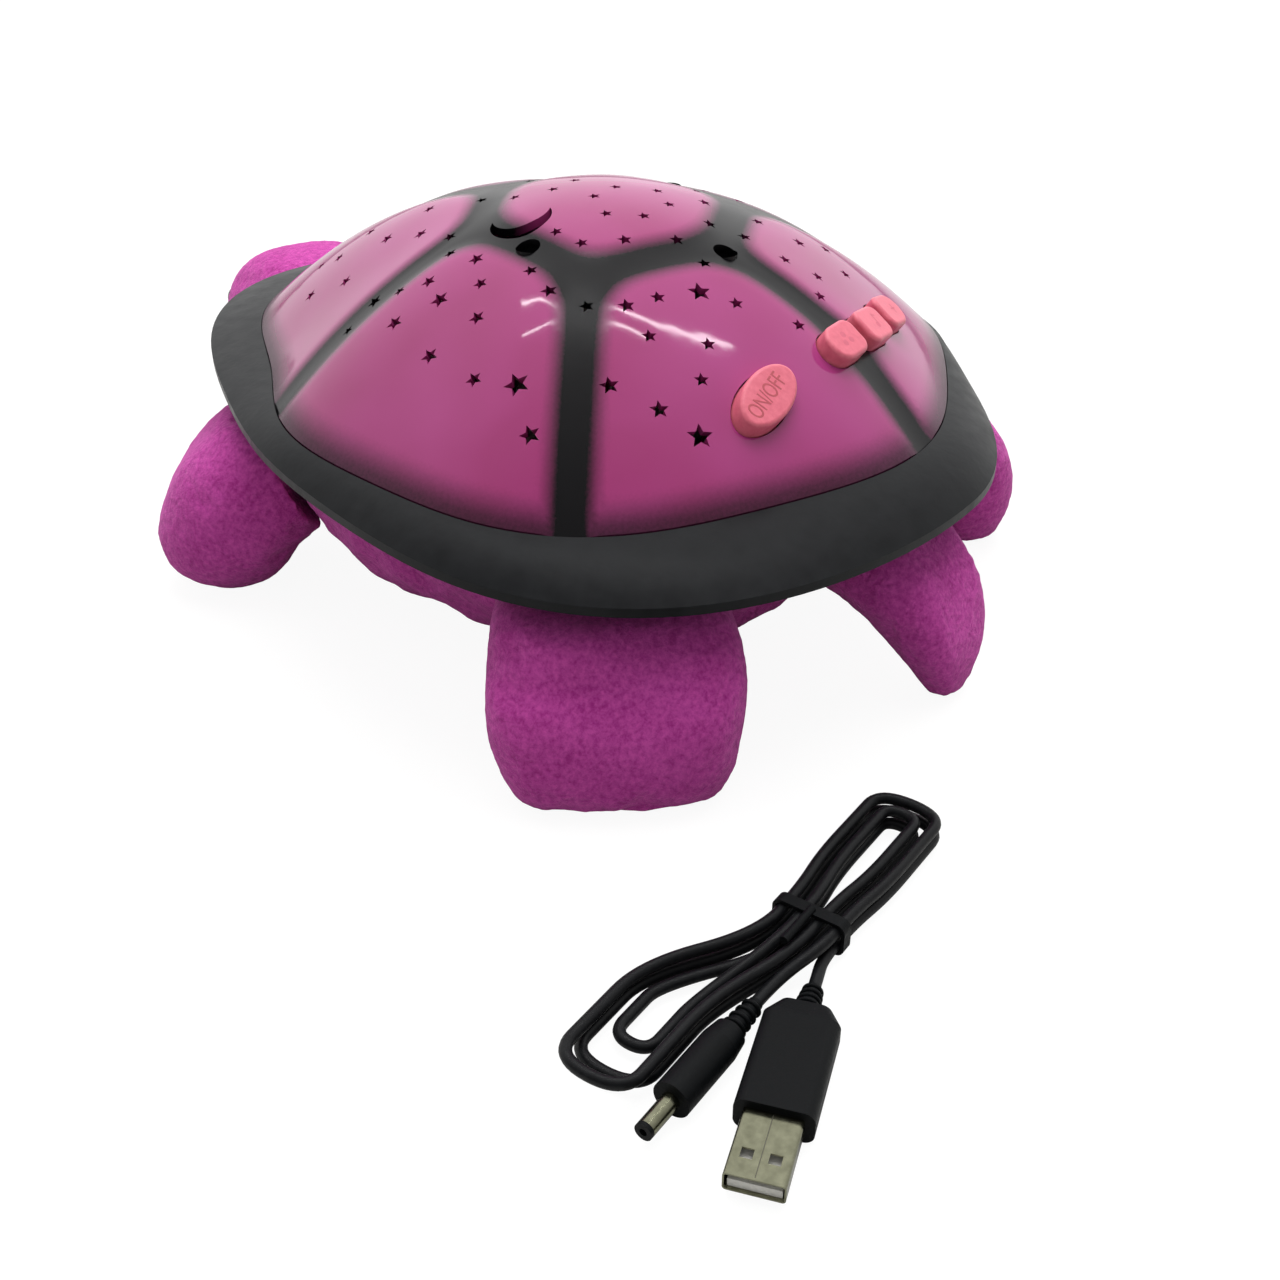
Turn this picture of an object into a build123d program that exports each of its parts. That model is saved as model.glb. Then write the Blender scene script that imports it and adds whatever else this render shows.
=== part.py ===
from build123d import *
import math
import os

# A plush turtle night light: a star-pierced shell over a lamp, a tray of works in a soft body.
# Millimetres, +Z up, floor at zero, head towards -Y, tail towards +Y, the turtle's left at +X.
# The pieces are drawn about the middle of the shell and moved to the middle of the whole at the end.

# Shell
SHELL_RADIUS = 98.0
CREASE_Z = 65.0
DOME_RISE = 49.5
DOME_WALL = 2.2
DOME_FOOT_SHARES = (1.03, 1.00, 1.045, 0.95, 0.94, 0.985, 1.19)
CROWN_SHARE = 0.6
REBATE_DEPTH = 1.5
FOOT_CLEARANCE = 0.3
FIELD_STEPS = 16
FIELD_REACH_SHARE = 1.4
OUTLINE_POINTS = 36
EDGE_STEPS = 24

# Brim, a soft skirt that is pressed in to the right of the tail
BRIM_LEFT_SHARES = (1.195, 1.225, 1.215, 1.05, 1.02, 1.15, 1.345)
BRIM_RIGHT_SHARES = (1.195, 1.105, 1.10, 1.05, 1.02, 1.15, 1.345)
BRIM_TAIL_DROP = 9.0
BRIM_HEAD_DROP = 2.0
BRIM_BELLY_WIDTH_SHARE = 0.55
BRIM_BELLY_DROP_SHARE = 0.4
BRIM_WALL = 2.4
LEDGE_WIDTH = 16.0
LEDGE_WALL = 2.0
LEDGE_LAP = 2.0

# Star holes, as shares of the shell's radius: place across, place towards the tail, size
STAR_SIZE = 4.6
STAR_WAIST_SHARE = 0.45
STAR_LEFT_SHARES = (
    (0.37, -0.77, 1.0), (0.38, -0.61, 1.0), (0.24, -0.85, 0.8), (0.25, -0.76, 0.9), (0.25, -0.56, 1.0),
    (0.17, -0.70, 0.9), (0.27, -0.41, 1.0), (0.14, -0.49, 0.9), (0.11, -0.32, 0.8), (0.31, -0.27, 0.9),
    (0.52, -0.37, 1.1), (0.60, -0.40, 0.8), (0.51, -0.28, 0.9), (0.61, -0.21, 1.1), (0.49, -0.19, 1.0),
    (0.54, -0.11, 1.2), (0.39, -0.20, 0.9), (0.41, -0.09, 1.0), (0.41, 0.09, 0.9), (0.48, -0.02, 0.9),
    (0.45, 0.18, 1.0), (0.57, 0.04, 1.0), (0.68, -0.03, 1.1), (0.71, 0.14, 1.0), (0.69, 0.26, 1.5),
    (0.77, 0.36, 1.2), (0.26, 0.06, 0.8), (0.27, 0.15, 0.8), (0.19, 0.23, 0.9), (0.08, 0.32, 0.9),
    (0.06, 0.20, 0.8), (0.12, 0.12, 0.8), (0.05, 0.03, 0.8), (0.05, -0.11, 0.8), (0.12, -0.19, 0.8),
)
STAR_TAIL_SHARES = (
    (0.38, 0.37, 1.0), (0.30, 0.41, 0.9), (0.20, 0.47, 1.4), (0.15, 0.55, 0.9), (0.41, 0.46, 0.9),
    (0.31, 0.57, 0.9), (0.40, 0.61, 0.9), (0.54, 0.58, 1.1), (0.51, 0.68, 1.5), (0.58, 0.46, 1.1),
    (0.05, 0.68, 0.9), (0.10, 0.42, 0.9), (0.44, 0.29, 0.9), (-0.13, 0.40, 0.9),
    (-0.28, 0.35, 0.9), (-0.34, 0.45, 1.0), (-0.46, 0.47, 0.9), (-0.16, 0.51, 0.9),
    (-0.22, 0.58, 0.9), (-0.40, 0.57, 0.9), (-0.13, 0.64, 0.9), (-0.55, 0.36, 0.9),
)
MOON_RADIUS = 8.5
MOON_BITE_RADIUS = 8.0
MOON_BITE_SHIFT = 4.2
MOON_TURN_ANGLE = 215.0
MOON_PLACE_SHARES = (0.235, -0.08)

# Screws
SHELL_THREAD_RADIUS = 1.4
SHELL_HEAD_RADIUS = 2.7
SHELL_HEAD_HEIGHT = 2.0
SMALL_THREAD_RADIUS = 1.0
SMALL_HEAD_RADIUS = 2.0
SMALL_HEAD_HEIGHT = 1.4
SCREW_SLOT = 0.8
SCREW_BITE = 8.0
SMALL_BITE = 4.5
SCREW_CLEARANCE = 0.1

# Recessed shell screws, as shares of the shell's radius
SHELL_SCREW_SHARES = ((0.33, 0.02), (-0.33, 0.02), (0.0, 0.42))
SLEEVE_RADIUS = 5.0
RECESS_RADIUS = 3.2
RECESS_DEPTH = 10.0
SLEEVE_SEAT = 2.4
PILLAR_RADIUS = 4.0

# Keys at the tail end, each a place on the shell and a size along and down the slope
KEY_ROW_SHARE = 0.77
KEY_TILT_ANGLE = 36.0
KEY_PITCH = 17.3
KEY_LENGTH = 13.5
KEY_DEPTH = 10.5
KEY_CORNER = 3.2
KEY_SAG = 1.6
SWITCH_KEY_LENGTH = 20.0
SWITCH_KEY_DEPTH = 12.5
SWITCH_KEY_OFFSET = 31.6
SWITCH_KEY_TURN_ANGLE = 15.0
BOARD_BOSS_RISE = 5.0
KEY_PROUD = 4.0
KEY_EDGE = 1.1
KEY_CLEARANCE = 0.4
KEY_FLANGE = 1.2
KEY_FLANGE_LAP = 1.2
KEY_TRAVEL = 1.0
KEY_STEM_RADIUS = 2.0
KEY_STEM_GAP = 0.1

# Switch board
SWITCH_BOARD_SINK = 17.5
SWITCH_BOARD_MARGIN = 2.0
BOARD_WALL = 1.6
BOARD_BOSS_RADIUS = 2.6
TACT_SIDE = 6.0
TACT_HEIGHT = 3.5
PLUNGER_RADIUS = 1.7
PLUNGER_RISE = 1.6
PLUNGER_DEPTH = 1.4
PLUNGER_CLEARANCE = 0.06

# Base tray: a tub of rounded rectangles, from its floor up to its flange
TRAY_WIDTH = 150.0
TRAY_LENGTH = 168.0
TRAY_SHIFT = 4.0
TRAY_FLOOR_Z = 9.0
TRAY_WALL = 2.0
FLANGE_WALL = 2.2
FLANGE_INSET = 2.0
TRAY_RISE_SHARES = (0.0, 0.33, 0.66, 1.0)
TRAY_WIDTH_SHARES = (0.44, 0.70, 0.88, 1.0)
TRAY_LENGTH_SHARES = (0.60, 0.76, 0.90, 1.0)
TRAY_SHIFT_SHARES = (0.0, 0.5, 0.9, 1.0)
TRAY_CORNER_SHARE = 0.45
CASE_SCREW_ANGLES = (30.0, 90.0, 160.0, 200.0, 270.0, 330.0)
CASE_SCREW_INSET = 12.0
CASE_BOSS_RADIUS = 3.2
CASE_BOSS_RISE = 3.2
CASE_BITE = 4.6

# Battery box
CELL_RADIUS = 7.25
CELL_LENGTH = 49.5
CELL_NIPPLE_RADIUS = 2.6
CELL_NIPPLE = 1.0
CELL_COUNT = 3
CELL_GAP = 0.6
CELL_LIFT = 0.2
CONTACT_PLATE = 0.5
SPRING_LENGTH = 4.0
SPRING_FOOT_RADIUS = 4.0
SPRING_TIP_RADIUS = 2.4
CONTACT_SIDE = 11.0
BOX_WALL = 1.8
BOX_HEADROOM = 0.7

# Battery door
DOOR_WALL = 2.4
DOOR_GAP = 0.3
DOOR_HEEL = 1.6
DOOR_HEEL_ROOM = 2.3
HINGE_RADIUS = 1.0
HINGE_CLEARANCE = 0.05
HINGE_PIN_LENGTH = 1.5
HINGE_SETBACK = 1.2
DOOR_SCREW_SETBACK = 3.8
DOOR_TOE = 3.6
DOOR_BOSS_RADIUS = 3.2
DOOR_BITE = 5.0
DOOR_SCREW_ROOM = 0.8
DOOR_GRIP_WIDTH = 14.0
DOOR_GRIP_DEPTH = 0.8
DOOR_RIB = 1.6
DOOR_RIB_COUNT = 5

# Lamp board
LAMP_BOARD_RADIUS = 22.0
LAMP_POST_RADIUS = 3.0
LAMP_POST_RISE = 8.0
LAMP_POST_REACH = 17.0
LAMP_RADIUS = 2.5
LAMP_FLANGE_RADIUS = 2.9
LAMP_FLANGE = 1.0
LAMP_BODY = 5.0
LAMP_CIRCLE = 7.0

# Main board
MAIN_BOARD_LENGTH = 46.0
MAIN_BOARD_WIDTH = 26.0
MAIN_BOARD_Z = 46.0
MAIN_BOARD_GAP = 1.6
MAIN_BOARD_EDGE = 3.6
CHIP_LENGTH = 10.0
CHIP_WIDTH = 6.0
CHIP_HEIGHT = 1.6
CAN_RADIUS = 2.5
CAN_HEIGHT = 7.0

# Power socket
JACK_LENGTH = 12.0
JACK_SIDE = 7.0
JACK_NOSE_RADIUS = 3.2
JACK_BORE_RADIUS = 2.1
JACK_BORE_DEPTH = 9.0
JACK_PIN_RADIUS = 0.75
JACK_PROUD = 0.6
JACK_CLEARANCE = 0.3

# Speaker
SPEAKER_RADIUS = 20.0
SPEAKER_Y = -54.0
SPEAKER_Z = 45.0
SPEAKER_RIM = 3.0
SPEAKER_DEPTH = 8.0
SPEAKER_SHEET = 0.8
MAGNET_RADIUS = 11.0
MAGNET_HEIGHT = 6.0
POLE_RADIUS = 8.0
POLE_PLATE = 1.5
CONE_WALL = 0.5
CAP_RADIUS = 6.0
CAP_RISE = 2.2
SPEAKER_EAR_RADIUS = 3.4
SPEAKER_POST_RADIUS = 3.0

# Leads inside
LEAD_RADIUS = 0.6
LEAD_STEP = 1.8
LEAD_BEND = 4.0

# Plush
PLUSH_WALL = 7.0
PLUSH_TOP_GAP = 0.3
PLUSH_FIT = 0.2
BELLY_Z = 1.5
BODY_RISE_SHARES = (0.0, 0.12, 0.40, 0.72, 1.0)
BODY_WIDTH_SHARES = (0.50, 0.72, 0.92, 0.985, 1.0)
BODY_LENGTH_SHARES = (0.54, 0.73, 0.88, 0.97, 1.0)
BODY_SHIFT_SHARES = (0.0, 0.2, 0.6, 0.9, 1.0)
WINDOW_MARGIN = 5.0
SOLE_SINK = 0.5
SECTION_CORNER_SHARE = 0.46

# Stuffed limbs: reach from the middle of the shell, height of the root, greatest width and thickness.
# Each row of shares is a section: reach, height, width, thickness. Droop and turn are in degrees.
REAR_REACH = 114.0
REAR_HEIGHT = 36.0
REAR_WIDTH = 63.0
REAR_THICKNESS = 31.0
REAR_SHARES = (
    (0.58, 1.00, 0.73, 0.84), (0.77, 1.00, 0.92, 1.00), (0.92, 0.81, 1.00, 0.97),
    (0.985, 0.37, 0.97, 0.84), (1.00, 0.00, 0.80, 0.55),
)
REAR_DROOP_ANGLES = (0.0, 14.0, 48.0, 78.0, 88.0)
REAR_TURN_ANGLE = 52.0
FRONT_REACH = 117.0
FRONT_HEIGHT = 37.0
FRONT_WIDTH = 61.0
FRONT_THICKNESS = 42.0
FRONT_SHARES = (
    (0.58, 1.00, 0.75, 0.66), (0.74, 0.95, 0.93, 0.86), (0.87, 0.71, 1.00, 1.00),
    (0.955, 0.39, 0.92, 0.92), (1.00, 0.12, 0.68, 0.62),
)
FRONT_DROOP_ANGLES = (0.0, 12.0, 36.0, 56.0, 68.0)
FRONT_LEFT_TURN_ANGLE = 145.0
FRONT_RIGHT_TURN_ANGLE = 136.0
TAIL_REACH = 115.0
TAIL_HEIGHT = 38.0
TAIL_WIDTH = 42.0
TAIL_THICKNESS = 26.0
TAIL_SHARES = (
    (0.58, 1.00, 1.00, 1.00), (0.84, 0.93, 1.00, 1.00), (0.945, 0.60, 0.84, 0.88),
    (0.99, 0.27, 0.58, 0.65), (1.00, 0.00, 0.28, 0.35),
)
TAIL_DROOP_ANGLES = (4.0, 24.0, 58.0, 74.0, 80.0)
TAIL_TURN_ANGLE = 0.0
TAIL_SWING_ANGLE = 2.0
HEAD_REACH = 182.0
HEAD_HEIGHT = 36.0
HEAD_WIDTH = 62.0
HEAD_THICKNESS = 50.0
HEAD_SHARES = (
    (0.36, 0.95, 0.66, 0.60), (0.57, 0.95, 0.74, 0.68), (0.70, 0.94, 0.90, 0.80),
    (0.83, 0.93, 1.00, 1.00), (0.94, 0.92, 0.81, 0.80), (1.00, 0.91, 0.39, 0.40),
)
HEAD_DROOP_ANGLES = (0.0, 1.0, 1.0, 1.0, 1.0, 0.0)
HEAD_TURN_ANGLE = 180.0
HEAD_SWING_ANGLE = 15.0
EYE_RADIUS = 4.5
EYE_OUT_SHARE = 0.33
EYE_UP_SHARE = 0.12
EYE_ROW = 4

# USB lead, a hank with its tie, seen from above: across is towards the tail, along is towards -X
CORD_RADIUS = 1.4
TIE_X = 108.0
TIE_Y = 135.0
HANK_STEP = 4.4
HANK_LAYER = 3.7
HANK_LIFT = 1.1
HANK_WAIST_SHARES = (1.5, -1.5, 0.5, -0.5, -0.5, 0.5, -1.5, 1.5)
HANK_NEAR_LENGTH = 39.0
HANK_NEAR_FAN = 26.0
HANK_NEAR_STEP = 4.2
HANK_FAR_FAN = 44.0
HANK_FAR_CENTRE = -13.3
HANK_FAR_RADIUS = 8.5
HANK_FAR_STEP = 4.1
HANK_FAR_LENGTH = 55.0
HANK_FAR_LENGTH_SHARES = (0.91, 0.82, 1.0)
HANK_SAMPLES = 900
TIE_WIDTH = 3.0
TIE_WALL = 0.8
TIE_GAP = 0.2
TIE_TAIL = 12.0
TIE_TAIL_RADIUS = 1.0

# USB plug
USB_TURN_ANGLE = 18.0
USB_BEND = 39.5
USB_RELIEF = 9.0
USB_RELIEF_RADIUS = 2.6
USB_GRIP_LENGTH = 29.0
USB_GRIP_WIDTH = 16.0
USB_GRIP_HEIGHT = 8.0
USB_GRIP_CORNER = 2.4
USB_SHELL_LENGTH = 16.0
USB_SHELL_WIDTH = 12.0
USB_SHELL_HEIGHT = 4.5
USB_SHELL_WALL = 0.35
USB_SHELL_CORNER = 0.8
USB_HOLE = 2.4
USB_HOLE_SPREAD = 5.4
USB_HOLE_SETBACK = 5.5
USB_TONGUE_HEIGHT = 1.9

# Round power plug
DC_START = 27.0
DC_ACROSS = 2.5
DC_RELIEF = 10.0
DC_RELIEF_RADIUS = 2.4
DC_GRIP_LENGTH = 21.0
DC_GRIP_RADIUS = 4.2
DC_NECK_RADIUS = 3.6
DC_BARREL_RADIUS = 2.0
DC_BARREL_BORE = 1.1
DC_BARREL_LENGTH = 9.5
DC_TIP_LENGTH = 1.0
DC_TIP_BORE = 0.85

OVERRUN = 5.0
TALL = 400.0

# Heights that follow
LEDGE_TOP_Z = CREASE_Z - REBATE_DEPTH
LEDGE_UNDER_Z = LEDGE_TOP_Z - LEDGE_WALL
FLANGE_UNDER_Z = LEDGE_UNDER_Z - FLANGE_WALL
PLUSH_TOP_Z = FLANGE_UNDER_Z - PLUSH_TOP_GAP
BOX_WIDTH = CELL_COUNT * (2 * CELL_RADIUS + CELL_GAP) + CELL_GAP
BOX_LENGTH = CELL_LENGTH + CELL_NIPPLE + SPRING_LENGTH + 2 * CONTACT_PLATE
BOX_FLOOR_Z = TRAY_FLOOR_Z + DOOR_WALL
BOX_ROOF_Z = BOX_FLOOR_Z + CELL_LIFT + 2 * CELL_RADIUS + BOX_HEADROOM
BOX_TOP_Z = BOX_ROOF_Z + BOX_WALL
HINGE_Y = -BOX_LENGTH / 2 - BOX_WALL - HINGE_SETBACK
HINGE_Z = TRAY_FLOOR_Z + DOOR_WALL / 2
DOOR_HEEL_Y = HINGE_Y - DOOR_HEEL
DOOR_SCREW_Y = BOX_LENGTH / 2 + BOX_WALL + DOOR_SCREW_SETBACK
DOOR_TOE_Y = DOOR_SCREW_Y + DOOR_TOE
LAMP_BOARD_Z = BOX_TOP_Z + LAMP_POST_RISE
MAIN_BOARD_IN_X = -SHELL_RADIUS * SHELL_SCREW_SHARES[0][0] - PILLAR_RADIUS - MAIN_BOARD_GAP
MAIN_BOARD_OUT_X = MAIN_BOARD_IN_X - MAIN_BOARD_WIDTH
JACK_Z = MAIN_BOARD_Z + BOARD_WALL + JACK_SIDE / 2
SHELL_SCREW = (SHELL_THREAD_RADIUS, SHELL_HEAD_RADIUS, SHELL_HEAD_HEIGHT)
SMALL_SCREW = (SMALL_THREAD_RADIUS, SMALL_HEAD_RADIUS, SMALL_HEAD_HEIGHT)
UPRIGHT = (Align.CENTER, Align.CENTER, Align.MIN)
BODY_WIDTH = TRAY_WIDTH + 2 * PLUSH_WALL
BODY_LENGTH = TRAY_LENGTH + 2 * PLUSH_WALL
CORD_LOW_Z = HANK_LIFT + CORD_RADIUS
CORD_HIGH_Z = CORD_LOW_Z + HANK_LAYER
NEARWARD = Vector(-1, 0, 0)


def cosine_series(shares):
    """Terms of the smooth closed outline through radii at even steps from tail to head."""
    last = len(shares) - 1
    halves = [1 if 0 < step < last else 1 / 2 for step in range(last + 1)]

    def term(order):
        waves = (half * share * math.cos(math.pi * order * step / last)
                 for step, (half, share) in enumerate(zip(halves, shares)))
        return halves[order] * 2 / last * sum(waves)

    return [term(order) for order in range(last + 1)]


DOME_TERMS = cosine_series(DOME_FOOT_SHARES)
BRIM_LEFT_TERMS = cosine_series(BRIM_LEFT_SHARES)
BRIM_RIGHT_TERMS = cosine_series(BRIM_RIGHT_SHARES)


def outline_radius(terms, angle):
    """Reach of an outline at an angle from the tail."""
    return SHELL_RADIUS * sum(term * math.cos(order * angle) for order, term in enumerate(terms))


def outline_face(radius_at):
    """Flat closed face whose edge lies at radius_at(angle) from the middle of the shell."""
    angles = [2 * math.pi * step / OUTLINE_POINTS for step in range(OUTLINE_POINTS)]
    points = [(radius_at(a) * math.sin(a), radius_at(a) * math.cos(a)) for a in angles]
    return make_face(Spline(points, periodic=True))


def foot_face(inset):
    """The dome's footprint, drawn in by an inset."""
    return outline_face(lambda angle: outline_radius(DOME_TERMS, angle) - inset)


def dome_height(x, y, inset=0.0):
    """Height of the dome's outer face over a place on the plan, or of the face an inset within it."""
    reach = math.hypot(x, y)
    spread = min(1, reach / (CROWN_SHARE * SHELL_RADIUS))
    blend = spread**2 * (3 - 2 * spread)
    foot = outline_radius(DOME_TERMS, math.atan2(x, y))
    radius = SHELL_RADIUS + (foot - SHELL_RADIUS) * blend - inset
    return CREASE_Z + (DOME_RISE - inset) * (1 - (reach / radius) ** 2)


def dome_normal(x, y):
    """Direction straight out of the dome over a place on the plan."""
    step = DOME_WALL
    across = (dome_height(x + step, y) - dome_height(x - step, y)) / (2 * step)
    down = (dome_height(x, y + step) - dome_height(x, y - step)) / (2 * step)
    return Vector(-across, -down, 1).normalized()


def dome_plane(x, y, raised=0.0):
    """Plane that touches the dome at a place on the plan, moved out by an amount."""
    out = dome_normal(x, y)
    return Plane(Vector(x, y, dome_height(x, y)) + out * raised, x_dir=(1, 0, 0), z_dir=out)


def dome_block(inset):
    """Solid under the dome's face, or under the face an inset within it."""
    reach = FIELD_REACH_SHARE * SHELL_RADIUS
    places = [reach * (2 * step / FIELD_STEPS - 1) for step in range(FIELD_STEPS + 1)]
    points = [[Vector(x, y, dome_height(x, y, inset)) for y in places] for x in places]
    under = extrude(Face.make_surface_from_array_of_points(points), amount=TALL, dir=(0, 0, -1))
    foot = Plane.XY.offset(LEDGE_TOP_Z) * foot_face(FOOT_CLEARANCE + inset)
    return extrude(foot, amount=TALL) & under


def on_shell(share):
    """Place on the plan from shares of the shell's radius."""
    return share[0] * SHELL_RADIUS, share[1] * SHELL_RADIUS


def upright(radius, low, high, x=0.0, y=0.0):
    """Vertical cylinder between two heights."""
    return Pos(x, y, low) * Cylinder(radius, high - low, align=UPRIGHT)


def block(low, high):
    """Box between two corners."""
    size = [b - a for a, b in zip(low, high)]
    return Pos(*low) * Box(*size, align=(Align.MIN, Align.MIN, Align.MIN))


def screw(sizes, length):
    """Countersunk screw along +Z, its head's flat end at the origin."""
    thread, head, height = sizes
    profile = Polyline((0, 0), (head, 0), (thread, height), (thread, height + length),
                       (0, height + length + thread), close=True)
    solid = revolve(Plane.XZ * make_face(profile), axis=Axis.Z)
    slot = Box(2 * head, SCREW_SLOT, SCREW_SLOT)
    return solid - slot - Rot(0, 0, 90) * slot


def screw_way(sizes, length, ease):
    """Room for a screw: its countersink and a hole for its thread."""
    thread, head, height = (size + ease for size in sizes)
    profile = Polyline((0, -OVERRUN), (head, -OVERRUN), (head, 0), (thread, height),
                       (thread, length), (0, length), close=True)
    return revolve(Plane.XZ * make_face(profile), axis=Axis.Z)


# Keys


def key_plane():
    """Plane of the row of keys: it touches the dome on the axis and sets the way they move."""
    y = KEY_ROW_SHARE * SHELL_RADIUS
    tilt = math.radians(KEY_TILT_ANGLE)
    return Plane((0, y, dome_height(0, y)), x_dir=(1, 0, 0), z_dir=(0, math.sin(tilt), math.cos(tilt)))


KEY_ROW = key_plane()
KEY_PLACES = {
    "on_off": (SWITCH_KEY_OFFSET, 0.0),
    "colour": (0.0, 0.0),
    "music": (-KEY_PITCH, 0.0),
    "volume": (-2 * KEY_PITCH, -KEY_SAG),
}


def key_outline(name, grow):
    """Flat outline of a key, grown by an amount: an oval, a square or a square with a round end."""
    if name == "on_off":
        oval = Ellipse(SWITCH_KEY_LENGTH / 2 + grow, SWITCH_KEY_DEPTH / 2 + grow)
        return Rot(0, 0, SWITCH_KEY_TURN_ANGLE) * oval
    length = KEY_LENGTH + 2 * grow
    depth = KEY_DEPTH + 2 * grow
    square = RectangleRounded(length, depth, KEY_CORNER + grow)
    if name == "music":
        return square
    side = 1 if name == "colour" else -1
    round_end = Pos(side * (length - depth) / 2, 0) * Circle(depth / 2)
    corner_half = Pos(-side * length / 4, 0) * Rectangle(length / 2, depth)
    return (square & corner_half) + round_end + Rectangle(length - depth, depth)


def skin_depth(across, down, inset):
    """Where a line square to the row of keys meets the dome, or the face an inset within it."""
    depth = 0.0
    for _ in range(OUTLINE_POINTS):
        point = KEY_ROW.from_local_coords(Vector(across, down, depth))
        depth += (dome_height(point.X, point.Y, inset) - point.Z) * KEY_ROW.z_dir.Z
    return depth


def flange_top(name):
    """Top of a key's flange, just under the lowest part of the dome's inner face above its edge."""
    across, down = KEY_PLACES[name]
    edges = key_outline(name, KEY_FLANGE_LAP + KEY_CLEARANCE).edges()
    spots = [edge @ (step / EDGE_STEPS) for edge in edges for step in range(EDGE_STEPS + 1)]
    return min(skin_depth(across + spot.X, down + spot.Y, DOME_WALL) for spot in spots) - KEY_CLEARANCE


def plunger_top():
    """Top of the tact plungers, measured from the plane of the keys."""
    return -SWITCH_BOARD_SINK + TACT_HEIGHT + PLUNGER_RISE


def roof_edges(cap, roof):
    """Edges of a key that lie in the plane of its top."""
    return [edge for edge in cap.edges()
            if all(abs(roof.to_local_coords(edge @ place).Z) < KEY_STEM_GAP for place in (0, 1 / 2, 1))]


def key(name):
    """A key with its flange under the shell and its stem down to the plunger."""
    across, down = KEY_PLACES[name]
    top = flange_top(name)
    low = plunger_top() + KEY_STEM_GAP
    here = KEY_ROW * Pos(across, down, top - KEY_FLANGE)
    cap = extrude(here * key_outline(name, 0), amount=TALL, dir=KEY_ROW.z_dir)
    foot = KEY_ROW.from_local_coords(Vector(across, down, skin_depth(across, down, 0)))
    roof = dome_plane(foot.X, foot.Y, KEY_PROUD)
    cap = split(cap, bisect_by=roof, keep=Keep.BOTTOM)
    cap = fillet(roof_edges(cap, roof), KEY_EDGE)
    flange = extrude(here * key_outline(name, KEY_FLANGE_LAP), amount=KEY_FLANGE, dir=KEY_ROW.z_dir)
    stem = KEY_ROW * Pos(across, down, low) * Cylinder(KEY_STEM_RADIUS, top - low, align=UPRIGHT)
    return cap + flange + stem


def key_hole(name):
    """Hole in the shell for a key."""
    across, down = KEY_PLACES[name]
    low = KEY_ROW * Pos(across, down, -SWITCH_BOARD_SINK) * key_outline(name, KEY_CLEARANCE)
    return extrude(low, amount=2 * SWITCH_BOARD_SINK, dir=KEY_ROW.z_dir)


def plunger(name):
    """Tact plunger under a key."""
    across, down = KEY_PLACES[name]
    length = PLUNGER_RISE + PLUNGER_DEPTH
    foot = KEY_ROW * Pos(across, down, plunger_top() - length)
    return foot * Cylinder(PLUNGER_RADIUS, length, align=UPRIGHT)


# Switch board


def board_bosses():
    """Places of the two bosses that carry the switch board, clear of the keys' flanges."""
    inner = (KEY_LENGTH / 2 + SWITCH_KEY_OFFSET - SWITCH_KEY_LENGTH / 2) / 2
    outer = -2 * KEY_PITCH - KEY_LENGTH / 2 - KEY_FLANGE_LAP - BOARD_BOSS_RADIUS - KEY_TRAVEL
    return ((inner, 0), (outer, -BOARD_BOSS_RISE))


def switch_board():
    """Board under the keys, square to the way they move."""
    low = board_bosses()[1][0] - BOARD_BOSS_RADIUS - SWITCH_BOARD_MARGIN
    high = SWITCH_KEY_OFFSET + TACT_SIDE / 2 + SWITCH_BOARD_MARGIN
    back = -BOARD_BOSS_RISE - TACT_SIDE / 2 - SWITCH_BOARD_MARGIN
    front = TACT_SIDE / 2 + SWITCH_BOARD_MARGIN
    under = -SWITCH_BOARD_SINK - BOARD_WALL
    board = KEY_ROW * block((low, back, under), (high, front, -SWITCH_BOARD_SINK))
    for across, down in board_bosses():
        board -= KEY_ROW * Pos(across, down, under) * screw_way(SMALL_SCREW, TALL, SCREW_CLEARANCE)
    return board


def switch_board_screws():
    """Screws through the switch board into the shell's bosses."""
    under = -SWITCH_BOARD_SINK - BOARD_WALL
    return [KEY_ROW * Pos(across, down, under) * screw(SMALL_SCREW, board_bite(across, down))
            for across, down in board_bosses()]


def board_bite(across, down):
    """Thread that a switch board screw has in its boss, short of the shell's outer face."""
    return skin_depth(across, down, DOME_WALL) + SWITCH_BOARD_SINK - SMALL_THREAD_RADIUS


def tact_switches():
    """Tact switch bodies on the switch board, each with a well for its plunger."""
    bodies = []
    well = PLUNGER_DEPTH + KEY_TRAVEL + 2 * KEY_STEM_GAP
    for across, down in KEY_PLACES.values():
        here = KEY_ROW * Pos(across, down, -SWITCH_BOARD_SINK)
        body = here * Box(TACT_SIDE, TACT_SIDE, TACT_HEIGHT, align=UPRIGHT)
        hole = Cylinder(PLUNGER_RADIUS + PLUNGER_CLEARANCE, well + OVERRUN, align=UPRIGHT)
        bodies.append(body - here * Pos(0, 0, TACT_HEIGHT - well) * hole)
    return bodies


# Shell


def star(x, y, size):
    """Five-pointed hole square to the dome."""
    tip = STAR_SIZE * size / 2
    corners = [(tip if turn % 2 == 0 else tip * STAR_WAIST_SHARE, math.pi * turn / 5) for turn in range(10)]
    outline = Polyline([(r * math.sin(a), r * math.cos(a)) for r, a in corners], close=True)
    return extrude(dome_plane(x, y, -2 * DOME_WALL) * make_face(outline), amount=2 * DOME_WALL + OVERRUN)


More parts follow.
